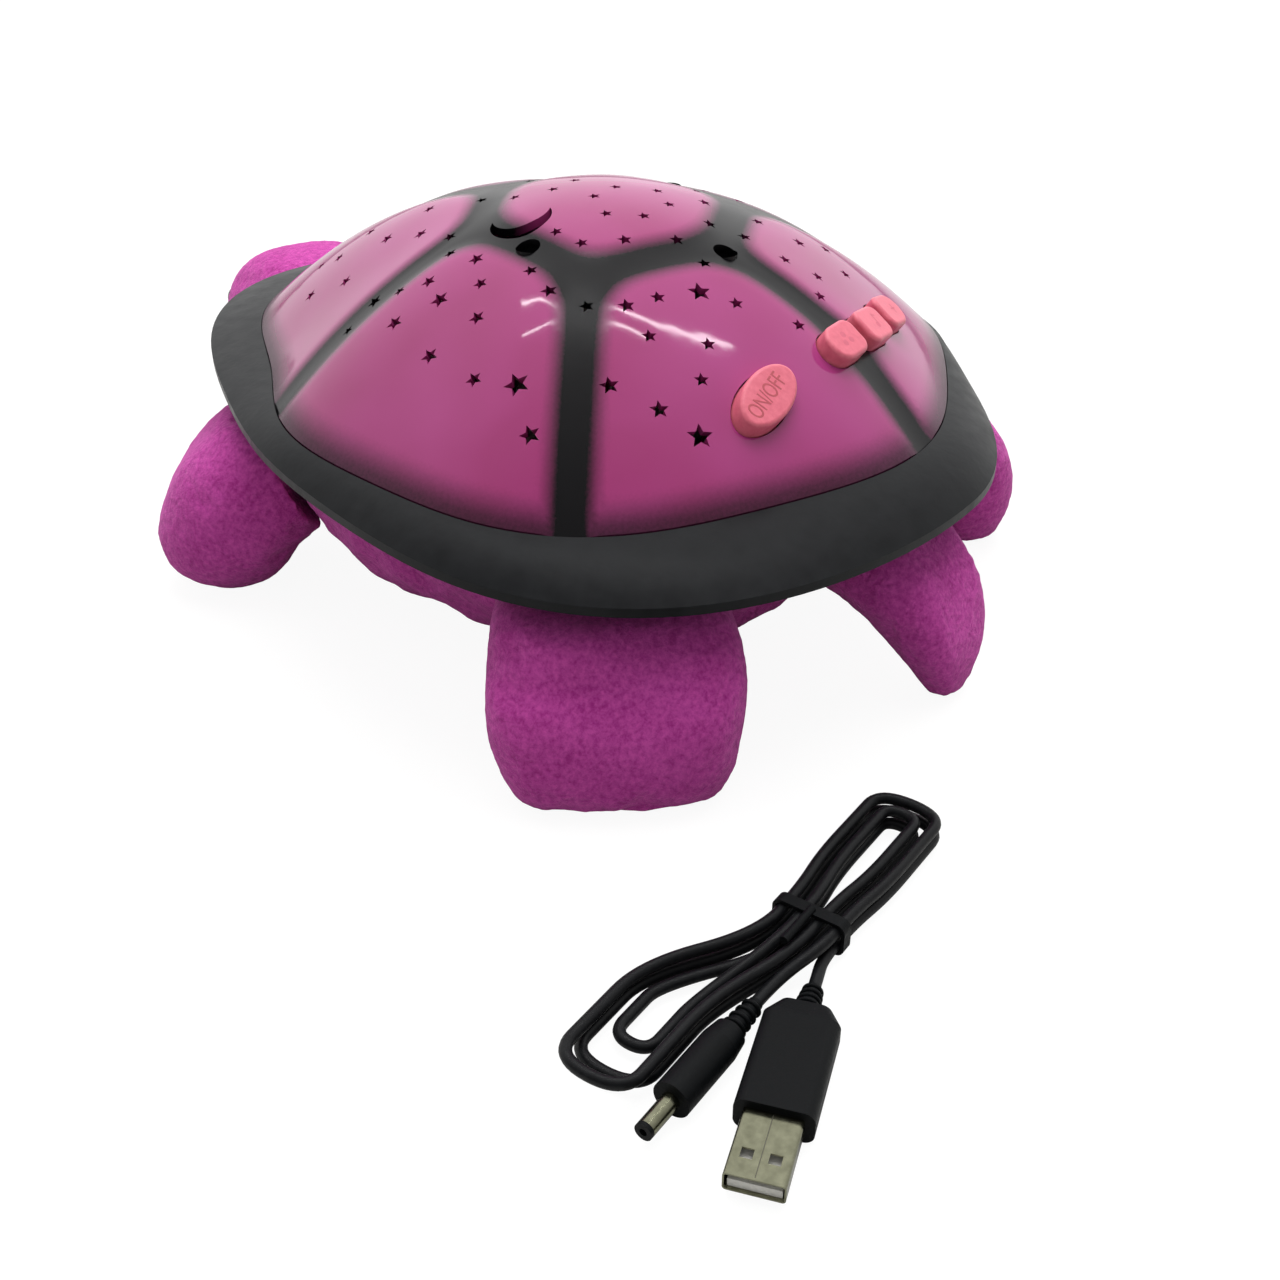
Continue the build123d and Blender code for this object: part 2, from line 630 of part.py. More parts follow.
def moon():
    """Crescent hole square to the dome."""
    x, y = on_shell(MOON_PLACE_SHARES)
    outline = Circle(MOON_RADIUS) - Pos(MOON_BITE_SHIFT, 0) * Circle(MOON_BITE_RADIUS)
    plane = dome_plane(x, y, -2 * DOME_WALL) * Rot(0, 0, MOON_TURN_ANGLE)
    return extrude(plane * outline, amount=2 * DOME_WALL + OVERRUN, dir=dome_normal(x, y))


def star_places():
    """Every star: the left half mirrored to the right, and those round the tail."""
    mirrored = [(-across, down, size) for across, down, size in STAR_LEFT_SHARES]
    return [(*on_shell(row), row[2]) for row in (*STAR_LEFT_SHARES, *mirrored, *STAR_TAIL_SHARES)]


def seat_z(x, y):
    """Height of the face that a recessed shell screw's head sits on."""
    return dome_height(x, y) - RECESS_DEPTH


def shell_dome():
    """Dome with its screw sleeves, board bosses, key holes, stars and moon."""
    outer = dome_block(0)
    dome = outer - dome_block(DOME_WALL)
    added = []
    holes = [moon()]
    for share in SHELL_SCREW_SHARES:
        x, y = on_shell(share)
        seat = seat_z(x, y)
        added.append(upright(SLEEVE_RADIUS, seat - SLEEVE_SEAT, TALL, x, y) & outer)
        holes.append(upright(RECESS_RADIUS, seat, TALL, x, y))
        holes.append(upright(SHELL_THREAD_RADIUS + SCREW_CLEARANCE, seat - TALL, seat, x, y))
        way = screw_way(SHELL_SCREW, SHELL_HEAD_HEIGHT, SCREW_CLEARANCE)
        holes.append(Pos(x, y, seat) * Rot(180, 0, 0) * way)
    for across, down in board_bosses():
        base = KEY_ROW * Pos(across, down, -SWITCH_BOARD_SINK)
        added.append(base * Cylinder(BOARD_BOSS_RADIUS, TALL, align=UPRIGHT) & outer)
        bite = board_bite(across, down) + SMALL_THREAD_RADIUS
        holes.append(base * Cylinder(SMALL_THREAD_RADIUS + SCREW_CLEARANCE, bite, align=UPRIGHT))
    holes += [key_hole(name) for name in KEY_PLACES]
    holes += [star(*place) for place in star_places()]
    return dome + added - holes


def shell_screws():
    """Screws down the sleeves into the tray's pillars."""
    places = [on_shell(share) for share in SHELL_SCREW_SHARES]
    shank = SLEEVE_SEAT + SCREW_BITE - SHELL_HEAD_HEIGHT
    return [Pos(x, y, seat_z(x, y)) * Rot(180, 0, 0) * screw(SHELL_SCREW, shank) for x, y in places]


# Brim


def brim_plane(drop_share):
    """Tilted plane through the brim, deepest at the tail and shallow over the neck."""
    tail = outline_radius(BRIM_LEFT_TERMS, 0)
    head = outline_radius(BRIM_LEFT_TERMS, math.pi)
    low = CREASE_Z - BRIM_TAIL_DROP * drop_share
    high = CREASE_Z - BRIM_HEAD_DROP * drop_share
    slope = (low - high) / (tail + head)
    return Plane((0, 0, high + slope * head), x_dir=(1, 0, 0), z_dir=(0, -slope, 1))


def brim_face(width_share, drop_share):
    """Outline between the dome's foot and the brim's edge."""
    def reach(angle):
        foot = outline_radius(DOME_TERMS, angle)
        terms = BRIM_LEFT_TERMS if math.sin(angle) >= 0 else BRIM_RIGHT_TERMS
        return foot + (outline_radius(terms, angle) - foot) * width_share

    return brim_plane(drop_share) * outline_face(reach)


def shell_brim():
    """Skirt round the dome's foot, with the ledge that carries the dome and its screw bosses."""
    edge = brim_face(1, 1)
    skirt = loft([edge, brim_face(BRIM_BELLY_WIDTH_SHARE, BRIM_BELLY_DROP_SHARE), brim_face(0, 0)])
    skirt += extrude(edge, amount=BRIM_WALL, dir=(0, 0, -1))
    skirt -= Pos(0, 0, -BRIM_WALL) * skirt
    ledge = extrude(Plane.XY.offset(LEDGE_UNDER_Z) * foot_face(-LEDGE_LAP), amount=LEDGE_WALL)
    brim = skirt + ledge
    brim -= extrude(Plane.XY.offset(LEDGE_TOP_Z) * foot_face(0), amount=TALL)
    brim -= extrude(foot_face(LEDGE_WIDTH), amount=TALL)
    for x, y in case_screw_places():
        brim += upright(CASE_BOSS_RADIUS, LEDGE_TOP_Z, LEDGE_TOP_Z + CASE_BOSS_RISE, x, y)
        brim -= upright(SMALL_THREAD_RADIUS + SCREW_CLEARANCE, 0, TALL, x, y)
    return brim


def case_screw_places():
    """Places of the screws between tray and brim."""
    angles = [math.radians(angle) for angle in CASE_SCREW_ANGLES]
    reaches = [outline_radius(DOME_TERMS, angle) - CASE_SCREW_INSET for angle in angles]
    return [(r * math.sin(a), r * math.cos(a)) for r, a in zip(reaches, angles)]


def case_screws():
    """Screws up through the tray's flange into the brim."""
    return [Pos(x, y, FLANGE_UNDER_Z) * screw(SMALL_SCREW, CASE_BITE) for x, y in case_screw_places()]


# Base tray


def rounded(width, length, z, shift, corner_share):
    """Rounded rectangle at a height, moved towards the head by a shift."""
    return Pos(0, -shift, z) * RectangleRounded(width, length, corner_share * min(width, length))


def tray_block(grow, floor):
    """The tub's solid, grown outward by an amount, from a floor up to the flange."""
    rows = zip(TRAY_RISE_SHARES, TRAY_WIDTH_SHARES, TRAY_LENGTH_SHARES, TRAY_SHIFT_SHARES)
    sections = []
    for rise, width, length, shift in rows:
        z = max(floor, TRAY_FLOOR_Z + rise * (FLANGE_UNDER_Z - TRAY_FLOOR_Z))
        if rise == 0:
            z = floor
        sections.append(rounded(TRAY_WIDTH * width + 2 * grow, TRAY_LENGTH * length + 2 * grow, z,
                                TRAY_SHIFT * shift, TRAY_CORNER_SHARE))
    return loft(sections, ruled=True)


def lamp_posts():
    """Places of the lamp board's posts."""
    return ((0, -LAMP_POST_REACH), (0, LAMP_POST_REACH))


def main_posts():
    """Places of the main board's posts."""
    x = MAIN_BOARD_IN_X - MAIN_BOARD_EDGE
    y = MAIN_BOARD_LENGTH / 2 - MAIN_BOARD_EDGE
    return ((x, -y), (x, y))


def speaker_posts():
    """Places of the speaker's posts."""
    reach = SPEAKER_RADIUS + SPEAKER_EAR_RADIUS / 2
    return ((-reach, SPEAKER_Y), (reach, SPEAKER_Y))


def battery_box():
    """Walls and roof over the cells, with side rails for the door's hinge."""
    half = BOX_WIDTH / 2
    end = BOX_LENGTH / 2
    heel = DOOR_HEEL_Y - DOOR_HEEL_ROOM
    body = block((-half - BOX_WALL, -end - BOX_WALL, BOX_FLOOR_Z + DOOR_GAP),
                 (half + BOX_WALL, end + BOX_WALL, BOX_TOP_Z))
    body -= block((-half, -end, 0), (half, end, BOX_ROOF_Z))
    for side in (-1, 1):
        x = side * (half + BOX_WALL / 2)
        body += block((x - BOX_WALL / 2, heel, TRAY_FLOOR_Z), (x + BOX_WALL / 2, end, BOX_ROOF_Z))
    under = BOX_FLOOR_Z + DOOR_GAP
    boss = upright(DOOR_BOSS_RADIUS, under, BOX_ROOF_Z, 0, DOOR_SCREW_Y)
    boss += block((-DOOR_BOSS_RADIUS, end, under), (DOOR_BOSS_RADIUS, DOOR_SCREW_Y, BOX_ROOF_Z))
    way = upright(SMALL_THREAD_RADIUS + DOOR_SCREW_ROOM, 0, BOX_ROOF_Z - BOX_WALL, 0, DOOR_SCREW_Y)
    return body + boss - way


def hinge_pins(radius, reach):
    """The door's two hinge pins, or the holes for them, out to a reach either side."""
    return Pos(0, HINGE_Y, HINGE_Z) * Rot(0, 90, 0) * Cylinder(radius, 2 * reach)


def base_tray():
    """Tub with its flange, battery box, screw pillars and posts."""
    outer = tray_block(0, TRAY_FLOOR_Z)
    well = tray_block(-TRAY_WALL, BOX_FLOOR_Z)
    half = BOX_WIDTH / 2
    tray = outer - well
    top = rounded(TRAY_WIDTH - 2 * TRAY_WALL, TRAY_LENGTH - 2 * TRAY_WALL, 0, TRAY_SHIFT, TRAY_CORNER_SHARE)
    flange = extrude(Plane.XY.offset(FLANGE_UNDER_Z) * foot_face(FLANGE_INSET), amount=FLANGE_WALL)
    tray += flange - extrude(top, amount=TALL)
    posts = [upright(LAMP_POST_RADIUS, BOX_ROOF_Z, LAMP_BOARD_Z, x, y) for x, y in lamp_posts()]
    posts += [upright(LAMP_POST_RADIUS, 0, MAIN_BOARD_Z, x, y) & outer for x, y in main_posts()]
    posts += [upright(SPEAKER_POST_RADIUS, 0, SPEAKER_Z - SPEAKER_SHEET, x, y) & outer
              for x, y in speaker_posts()]
    small_way = SMALL_THREAD_RADIUS + SCREW_CLEARANCE
    ways = []
    for share in SHELL_SCREW_SHARES:
        x, y = on_shell(share)
        head = seat_z(x, y) - SLEEVE_SEAT
        posts.append(upright(PILLAR_RADIUS, 0, FLANGE_UNDER_Z, x, y) & outer)
        posts.append(upright(PILLAR_RADIUS, BOX_ROOF_Z, head, x, y))
        ways.append(upright(SHELL_THREAD_RADIUS + SCREW_CLEARANCE, head - SCREW_BITE - OVERRUN, head, x, y))
    for x, y in lamp_posts():
        ways.append(upright(small_way, LAMP_BOARD_Z - LAMP_POST_RISE, LAMP_BOARD_Z, x, y))
    for x, y in main_posts():
        ways.append(upright(small_way, MAIN_BOARD_Z - LAMP_POST_RISE, MAIN_BOARD_Z, x, y))
    for x, y in speaker_posts():
        ways.append(upright(small_way, SPEAKER_Z - LAMP_POST_RISE, SPEAKER_Z, x, y))
    for x, y in case_screw_places():
        way = screw_way(SMALL_SCREW, FLANGE_WALL + OVERRUN, SCREW_CLEARANCE)
        ways.append(Pos(x, y, FLANGE_UNDER_Z) * way)
    doorway = block((-half, DOOR_HEEL_Y - DOOR_HEEL_ROOM + DOOR_HEEL, 0),
                    (half, DOOR_TOE_Y + DOOR_GAP, BOX_FLOOR_Z))
    jack_way = Pos(MAIN_BOARD_OUT_X, 0, JACK_Z) * Rot(0, -90, 0) * Cylinder(
        JACK_NOSE_RADIUS + JACK_CLEARANCE, TALL, align=UPRIGHT)
    tray = tray - doorway + posts + battery_box() - ways - jack_way
    return tray - hinge_pins(HINGE_RADIUS + HINGE_CLEARANCE, half + HINGE_PIN_LENGTH + DOOR_GAP)


# Battery door, cells and contacts


def battery_door():
    """Door in the belly with hinge pins at its heel and a screw at its toe."""
    half = BOX_WIDTH / 2 - DOOR_GAP
    door = block((-half, DOOR_HEEL_Y, TRAY_FLOOR_Z), (half, DOOR_TOE_Y, BOX_FLOOR_Z))
    door = fillet(door.edges().filter_by(Axis.X).group_by(Axis.Y)[0], DOOR_WALL / 2 - DOOR_GAP)
    door += hinge_pins(HINGE_RADIUS, half + HINGE_PIN_LENGTH)
    door -= Pos(0, DOOR_SCREW_Y, TRAY_FLOOR_Z) * screw_way(SMALL_SCREW, TALL, SCREW_CLEARANCE)
    for rib in range(DOOR_RIB_COUNT):
        y = BOX_LENGTH / 2 - 2 * rib * DOOR_RIB
        door -= block((-DOOR_GRIP_WIDTH / 2, y - DOOR_RIB, 0),
                      (DOOR_GRIP_WIDTH / 2, y, TRAY_FLOOR_Z + DOOR_GRIP_DEPTH))
    return door


def battery_door_screw():
    """Captive screw of the battery door."""
    return Pos(0, DOOR_SCREW_Y, TRAY_FLOOR_Z) * screw(SMALL_SCREW, DOOR_BITE)


def cell_places():
    """Each cell's place across the box, and which way its nipple points."""
    pitch = 2 * CELL_RADIUS + CELL_GAP
    return [((i - (CELL_COUNT - 1) / 2) * pitch, 1 if i % 2 == 0 else -1) for i in range(CELL_COUNT)]


def cell_axis(x, way):
    """Frame of a cell: its origin at the middle of the box, +Z towards its nipple."""
    z = BOX_FLOOR_Z + CELL_LIFT + CELL_RADIUS
    return Plane((x, 0, z), x_dir=(1, 0, 0), z_dir=(0, way, 0))


def aa_cells():
    """Three cells, alternate ways round."""
    cells = []
    foot = -BOX_LENGTH / 2 + CONTACT_PLATE + SPRING_LENGTH
    for x, way in cell_places():
        axis = cell_axis(x, way)
        can = Pos(0, 0, foot) * Cylinder(CELL_RADIUS, CELL_LENGTH, align=UPRIGHT)
        nipple = Pos(0, 0, foot) * Cylinder(CELL_NIPPLE_RADIUS, CELL_LENGTH + CELL_NIPPLE, align=UPRIGHT)
        cells.append(axis * (can + nipple))
    return cells


def battery_contacts():
    """Plates at both ends of the box, one at each end of each cell."""
    plates = []
    for x, way in cell_places():
        for end in (-1, 1):
            y = end * (BOX_LENGTH / 2 - CONTACT_PLATE / 2)
            plates.append(cell_axis(x, way) * Pos(0, 0, y) * Box(CONTACT_SIDE, CONTACT_SIDE, CONTACT_PLATE))
    return plates


def battery_springs():
    """Tapered springs behind the cells, as closed cones."""
    foot = -BOX_LENGTH / 2 + CONTACT_PLATE
    spring = Cone(SPRING_FOOT_RADIUS, SPRING_TIP_RADIUS, SPRING_LENGTH, align=UPRIGHT)
    return [cell_axis(x, way) * Pos(0, 0, foot) * spring for x, way in cell_places()]


# Boards, lamps and power socket


def lamp_board():
    """Round board over the battery box."""
    board = upright(LAMP_BOARD_RADIUS, LAMP_BOARD_Z, LAMP_BOARD_Z + BOARD_WALL)
    for place in down_screws(lamp_posts(), LAMP_BOARD_Z):
        board -= place * screw_way(SMALL_SCREW, TALL, SCREW_CLEARANCE)
    return board


def down_screws(places, z):
    """Where screws go down through a board that lies at a height."""
    return [Pos(x, y, z + BOARD_WALL) * Rot(180, 0, 0) for x, y in places]


def lamp(index):
    """One lamp of the ring on the lamp board."""
    turn = 2 * math.pi * index / 3
    profile = make_face([
        Line((0, 0), (LAMP_FLANGE_RADIUS, 0)),
        Line((LAMP_FLANGE_RADIUS, 0), (LAMP_FLANGE_RADIUS, LAMP_FLANGE)),
        Line((LAMP_FLANGE_RADIUS, LAMP_FLANGE), (LAMP_RADIUS, LAMP_FLANGE)),
        Line((LAMP_RADIUS, LAMP_FLANGE), (LAMP_RADIUS, LAMP_BODY)),
        RadiusArc((LAMP_RADIUS, LAMP_BODY), (0, LAMP_BODY + LAMP_RADIUS), -LAMP_RADIUS),
        Line((0, LAMP_BODY + LAMP_RADIUS), (0, 0)),
    ])
    place = Pos(LAMP_CIRCLE * math.sin(turn), LAMP_CIRCLE * math.cos(turn), LAMP_BOARD_Z + BOARD_WALL)
    return place * revolve(Plane.XZ * profile, axis=Axis.Z)


def main_board():
    """Board on the turtle's right side of the tray."""
    y = MAIN_BOARD_LENGTH / 2
    board = block((MAIN_BOARD_OUT_X, -y, MAIN_BOARD_Z), (MAIN_BOARD_IN_X, y, MAIN_BOARD_Z + BOARD_WALL))
    for place in down_screws(main_posts(), MAIN_BOARD_Z):
        board -= place * screw_way(SMALL_SCREW, TALL, SCREW_CLEARANCE)
    return board


def main_board_chips():
    """Sound chip, driver and two capacitors on the main board."""
    top = MAIN_BOARD_Z + BOARD_WALL
    middle = (MAIN_BOARD_IN_X + MAIN_BOARD_OUT_X) / 2
    y = MAIN_BOARD_LENGTH / 4
    chip = Box(CHIP_WIDTH, CHIP_LENGTH, CHIP_HEIGHT, align=UPRIGHT)
    chips = [Pos(middle, side * y, top) * chip for side in (-1, 1)]
    can_x = MAIN_BOARD_OUT_X + CAN_RADIUS + CHIP_HEIGHT
    cans = [upright(CAN_RADIUS, top, top + CAN_HEIGHT, can_x, side * y) for side in (-1, 1)]
    return chips + cans


def jack_mouth_x():
    """Where the power socket's nose ends, just proud of the plush."""
    share = (JACK_Z - BELLY_Z) / (PLUSH_TOP_Z - BELLY_Z)
    low, high = BODY_RISE_SHARES[-2:]
    narrow, wide = BODY_WIDTH_SHARES[-2:]
    width = narrow + (wide - narrow) * (share - low) / (high - low)
    return -width * BODY_WIDTH / 2 - JACK_PROUD


def along_x(radius, start, end, z):
    """Cylinder along X between two places."""
    return Pos(min(start, end), 0, z) * Rot(0, 90, 0) * Cylinder(radius, abs(end - start), align=UPRIGHT)


def dc_jack():
    """Power socket: a box on the board with a round nose out through tray and plush."""
    mouth = jack_mouth_x()
    back = MAIN_BOARD_OUT_X + JACK_LENGTH
    body = block((MAIN_BOARD_OUT_X, -JACK_SIDE / 2, JACK_Z - JACK_SIDE / 2),
                 (back, JACK_SIDE / 2, JACK_Z + JACK_SIDE / 2))
    body += along_x(JACK_NOSE_RADIUS, mouth, back, JACK_Z)
    return body - along_x(JACK_BORE_RADIUS, mouth - OVERRUN, mouth + JACK_BORE_DEPTH, JACK_Z)


def dc_jack_pin():
    """Centre pin of the power socket."""
    mouth = jack_mouth_x()
    return along_x(JACK_PIN_RADIUS, mouth + JACK_PROUD, mouth + JACK_BORE_DEPTH, JACK_Z)


# Speaker


def speaker_frame():
    """Pressed frame with two ears."""
    rim = SPEAKER_RADIUS - SPEAKER_RIM
    floor = -SPEAKER_DEPTH
    profile = Polyline((SPEAKER_RADIUS, 0), (SPEAKER_RADIUS, -SPEAKER_SHEET), (rim, -SPEAKER_SHEET),
                       (MAGNET_RADIUS, floor), (CAP_RADIUS, floor), (CAP_RADIUS, floor + SPEAKER_SHEET),
                       (MAGNET_RADIUS, floor + SPEAKER_SHEET), (rim, 0), close=True)
    frame = Pos(0, SPEAKER_Y, SPEAKER_Z) * revolve(Plane.XZ * make_face(profile), axis=Axis.Z)
    for x, y in speaker_posts():
        ear = upright(SPEAKER_EAR_RADIUS, SPEAKER_Z - SPEAKER_SHEET, SPEAKER_Z, x, y)
        frame += ear - upright(rim, 0, TALL, 0, SPEAKER_Y)
        frame -= upright(SMALL_THREAD_RADIUS + SCREW_CLEARANCE, 0, TALL, x, y)
    return frame


def speaker_screws():
    """Screws through the speaker's ears, their heads on the sheet."""
    top = SPEAKER_Z + SMALL_HEAD_HEIGHT
    return [Pos(x, y, top) * Rot(180, 0, 0) * pan_screw() for x, y in speaker_posts()]


def pan_screw():
    """Flat-headed small screw along +Z."""
    thread, head, height = SMALL_SCREW
    return upright(head, 0, height) + upright(thread, height, height + SMALL_BITE)


def speaker_cone():
    """Paper cone with its dust cap, glued to the frame's rim."""
    rim = SPEAKER_RADIUS - SPEAKER_RIM
    low = -SPEAKER_DEPTH / 2
    glue = SPEAKER_RADIUS - SPEAKER_RIM / 2
    profile = Polyline((glue, 0), (glue, CONE_WALL), (rim, CONE_WALL), (CAP_RADIUS, low + CONE_WALL),
                       (0, low + CAP_RISE + CONE_WALL), (0, low + CAP_RISE), (CAP_RADIUS, low), (rim, 0),
                       close=True)
    return Pos(0, SPEAKER_Y, SPEAKER_Z) * revolve(Plane.XZ * make_face(profile), axis=Axis.Z)


def speaker_magnet():
    """Magnet and back plate under the frame."""
    top = SPEAKER_Z - SPEAKER_DEPTH
    magnet = upright(MAGNET_RADIUS, top - MAGNET_HEIGHT, top, 0, SPEAKER_Y)
    return magnet + upright(POLE_RADIUS, top - MAGNET_HEIGHT - POLE_PLATE, top, 0, SPEAKER_Y)


# Leads inside


def lead(points, count, beside=Vector(0, 1, 0)):
    """Side by side insulated wires along one bent route."""
    wires = []
    for wire in range(count):
        shifted = [Vector(*point) + beside * (wire * LEAD_STEP) for point in points]
        path = FilletPolyline(*shifted, radius=LEAD_BEND)
        wires.append(sweep(Plane(path @ 0, z_dir=path % 0) * Circle(LEAD_RADIUS), path=path))
    return wires


def battery_leads():
    """From the battery box to the underside of the main board."""
    x = -BOX_WIDTH / 2 - BOX_WALL
    low = BOX_ROOF_Z - BOX_WALL
    y = MAIN_BOARD_LENGTH / 4
    out = MAIN_BOARD_IN_X - LEAD_BEND
    return lead([(x, y, low), (x - 2 * LEAD_BEND, y, low), (out, y, low + 2 * LEAD_BEND),
                 (out, y, MAIN_BOARD_Z)], 2)


def hump_lead(start, end, rise, count):
    """Leads that stand up from one board and come down on another."""
    return lead([start, (start[0], start[1], rise), (end[0], end[1], rise), end], count)


def lamp_leads():
    """From the lamp board to the main board."""
    board = LAMP_BOARD_Z + BOARD_WALL
    top = MAIN_BOARD_Z + BOARD_WALL
    y = -MAIN_BOARD_LENGTH / 4
    end = (MAIN_BOARD_IN_X - LEAD_BEND, y, top)
    return hump_lead((-LAMP_POST_REACH, y, board), end, top + 2 * LEAD_BEND, 2)


def speaker_leads():
    """From the speaker's rim to the main board."""
    top = MAIN_BOARD_Z + BOARD_WALL
    start = (2 * LEAD_RADIUS - SPEAKER_RADIUS, SPEAKER_Y + SPEAKER_EAR_RADIUS + SPEAKER_SHEET, SPEAKER_Z)
    end = (MAIN_BOARD_IN_X - 2 * LEAD_BEND, LEAD_STEP - MAIN_BOARD_LENGTH / 2, top)
    return hump_lead(start, end, top + 2 * LEAD_BEND, 2)


def switch_leads():
    """From the switch board to the main board."""
    top = MAIN_BOARD_Z + BOARD_WALL
    under = KEY_ROW.from_local_coords(Vector(-KEY_PITCH / 2, 0, -SWITCH_BOARD_SINK - BOARD_WALL))
    clear = under - KEY_ROW.z_dir * (2 * LEAD_BEND)
    end = Vector(MAIN_BOARD_IN_X - 2 * LEAD_BEND, MAIN_BOARD_LENGTH / 2 - 3 * LEAD_STEP, top)
    return lead([under, clear, end + Vector(0, 0, 2 * LEAD_BEND), end], 3, Vector(1, 0, 0))


# Plush


def body_block(grow):
    """The plush body's outer solid, grown by an amount."""
    rows = zip(BODY_RISE_SHARES, BODY_WIDTH_SHARES, BODY_LENGTH_SHARES, BODY_SHIFT_SHARES)
    return loft([rounded(BODY_WIDTH * width + 2 * grow, BODY_LENGTH * length + 2 * grow,
                         BELLY_Z + rise * (PLUSH_TOP_Z - BELLY_Z), TRAY_SHIFT * shift, TRAY_CORNER_SHARE)
                 for rise, width, length, shift in rows])


def plush_body():
    """Padded belly round the tray, open at the top, with a window for the battery door."""
    half = BOX_WIDTH / 2 + WINDOW_MARGIN
    window = block((-half, DOOR_HEEL_Y - WINDOW_MARGIN, 0), (half, DOOR_TOE_Y + WINDOW_MARGIN, TRAY_FLOOR_Z))
    nose = along_x(JACK_NOSE_RADIUS + JACK_CLEARANCE, jack_mouth_x() - OVERRUN, MAIN_BOARD_OUT_X, JACK_Z)
    return body_block(0) - tray_block(PLUSH_FIT, TRAY_FLOOR_Z - PLUSH_FIT) - window - nose


def limb(reach, height, width, thickness, shares, droops, turn, swing):
    """Stuffed limb: a loft through rounded sections that swell, taper and droop to the floor."""
    sections = []
    for (out, up, wide, thick), droop in zip(shares, droops):
        place = math.radians(turn + swing * out)
        heading = place + math.atan(math.radians(swing) * out)
        away = Vector(math.sin(heading), math.cos(heading), 0)
        side = Vector(math.cos(heading), -math.sin(heading), 0)
        sink = math.radians(droop)
        way = away * math.cos(sink) - Vector(0, 0, math.sin(sink))
        z = up * (height + SOLE_SINK) - SOLE_SINK
        origin = Vector(reach * out * math.sin(place), reach * out * math.cos(place), z)
        corner = SECTION_CORNER_SHARE * min(width * wide, thickness * thick)
        outline = RectangleRounded(width * wide, thickness * thick, corner)
        sections.append(Plane(origin, x_dir=side, z_dir=way) * outline)
    solid = loft(sections) - body_block(PLUSH_FIT)
    return solid - block((-TALL, -TALL, -TALL), (TALL, TALL, 0))


def rear_flipper():
    """Rear left flipper, hanging to the floor."""
    return limb(REAR_REACH, REAR_HEIGHT, REAR_WIDTH, REAR_THICKNESS,
                REAR_SHARES, REAR_DROOP_ANGLES, REAR_TURN_ANGLE, 0)


def front_flipper(turn):
    """Front left flipper, its end on the floor."""
    return limb(FRONT_REACH, FRONT_HEIGHT, FRONT_WIDTH, FRONT_THICKNESS,
                FRONT_SHARES, FRONT_DROOP_ANGLES, turn, 0)


def plush_tail():
    """Pointed tail that droops to the floor."""
    return limb(TAIL_REACH, TAIL_HEIGHT, TAIL_WIDTH, TAIL_THICKNESS,
                TAIL_SHARES, TAIL_DROOP_ANGLES, TAIL_TURN_ANGLE, TAIL_SWING_ANGLE)


def head_form():
    """Head and neck, turned a little to the turtle's right, before the eyes are let in."""
    return limb(HEAD_REACH, HEAD_HEIGHT, HEAD_WIDTH, HEAD_THICKNESS,
                HEAD_SHARES, HEAD_DROOP_ANGLES, HEAD_TURN_ANGLE, HEAD_SWING_ANGLE)


def eyes():
    """Two bead eyes, half sunk in the head."""
    out, up = HEAD_SHARES[EYE_ROW][:2]
    place = math.radians(HEAD_TURN_ANGLE + HEAD_SWING_ANGLE * out)
    heading = place + math.atan(math.radians(HEAD_SWING_ANGLE) * out)
    side = Vector(math.cos(heading), -math.sin(heading), 0)
    middle = Vector(HEAD_REACH * out * math.sin(place), HEAD_REACH * out * math.cos(place),
                    HEAD_HEIGHT * up + EYE_UP_SHARE * HEAD_THICKNESS)
    out = side * (EYE_OUT_SHARE * HEAD_WIDTH)
    return [Pos(*(middle + out * way)) * Sphere(EYE_RADIUS) for way in (-1, 1)]


# USB lead


def hank_point(along, across, z):
    """Place on the hank: along it from the tie, across it and above the floor."""
    return Vector(TIE_X - along, TIE_Y + across, z)


def swerve(start, end, heading):
    """Two equal arcs that leave and arrive along the same heading."""
    middle = (start + end) / 2
    return [TangentArc(start, middle, tangent=heading), TangentArc(end, middle, tangent=heading * -1)]


def half_turn(start, end, heading):
    """Half circle between two parallel strands, as two quarter turns."""
    middle = (start + end) / 2
    radius = (end - start).length / 2
    crown = middle + heading * radius
    return [TangentArc(start, crown, tangent=heading), TangentArc(end, crown, tangent=heading)]


def usb_start():
    """Where the cord leaves the USB plug's strain relief, and its heading there."""
    turn = math.radians(USB_TURN_ANGLE)
    across = HANK_WAIST_SHARES[0] * HANK_STEP + USB_BEND * (1 - math.cos(turn))
    bend = hank_point(-USB_BEND * math.sin(turn), across, CORD_LOW_Z)
    away = Vector(math.cos(turn), math.sin(turn), 0)
    return bend, bend + away * (2 * CORD_RADIUS), away


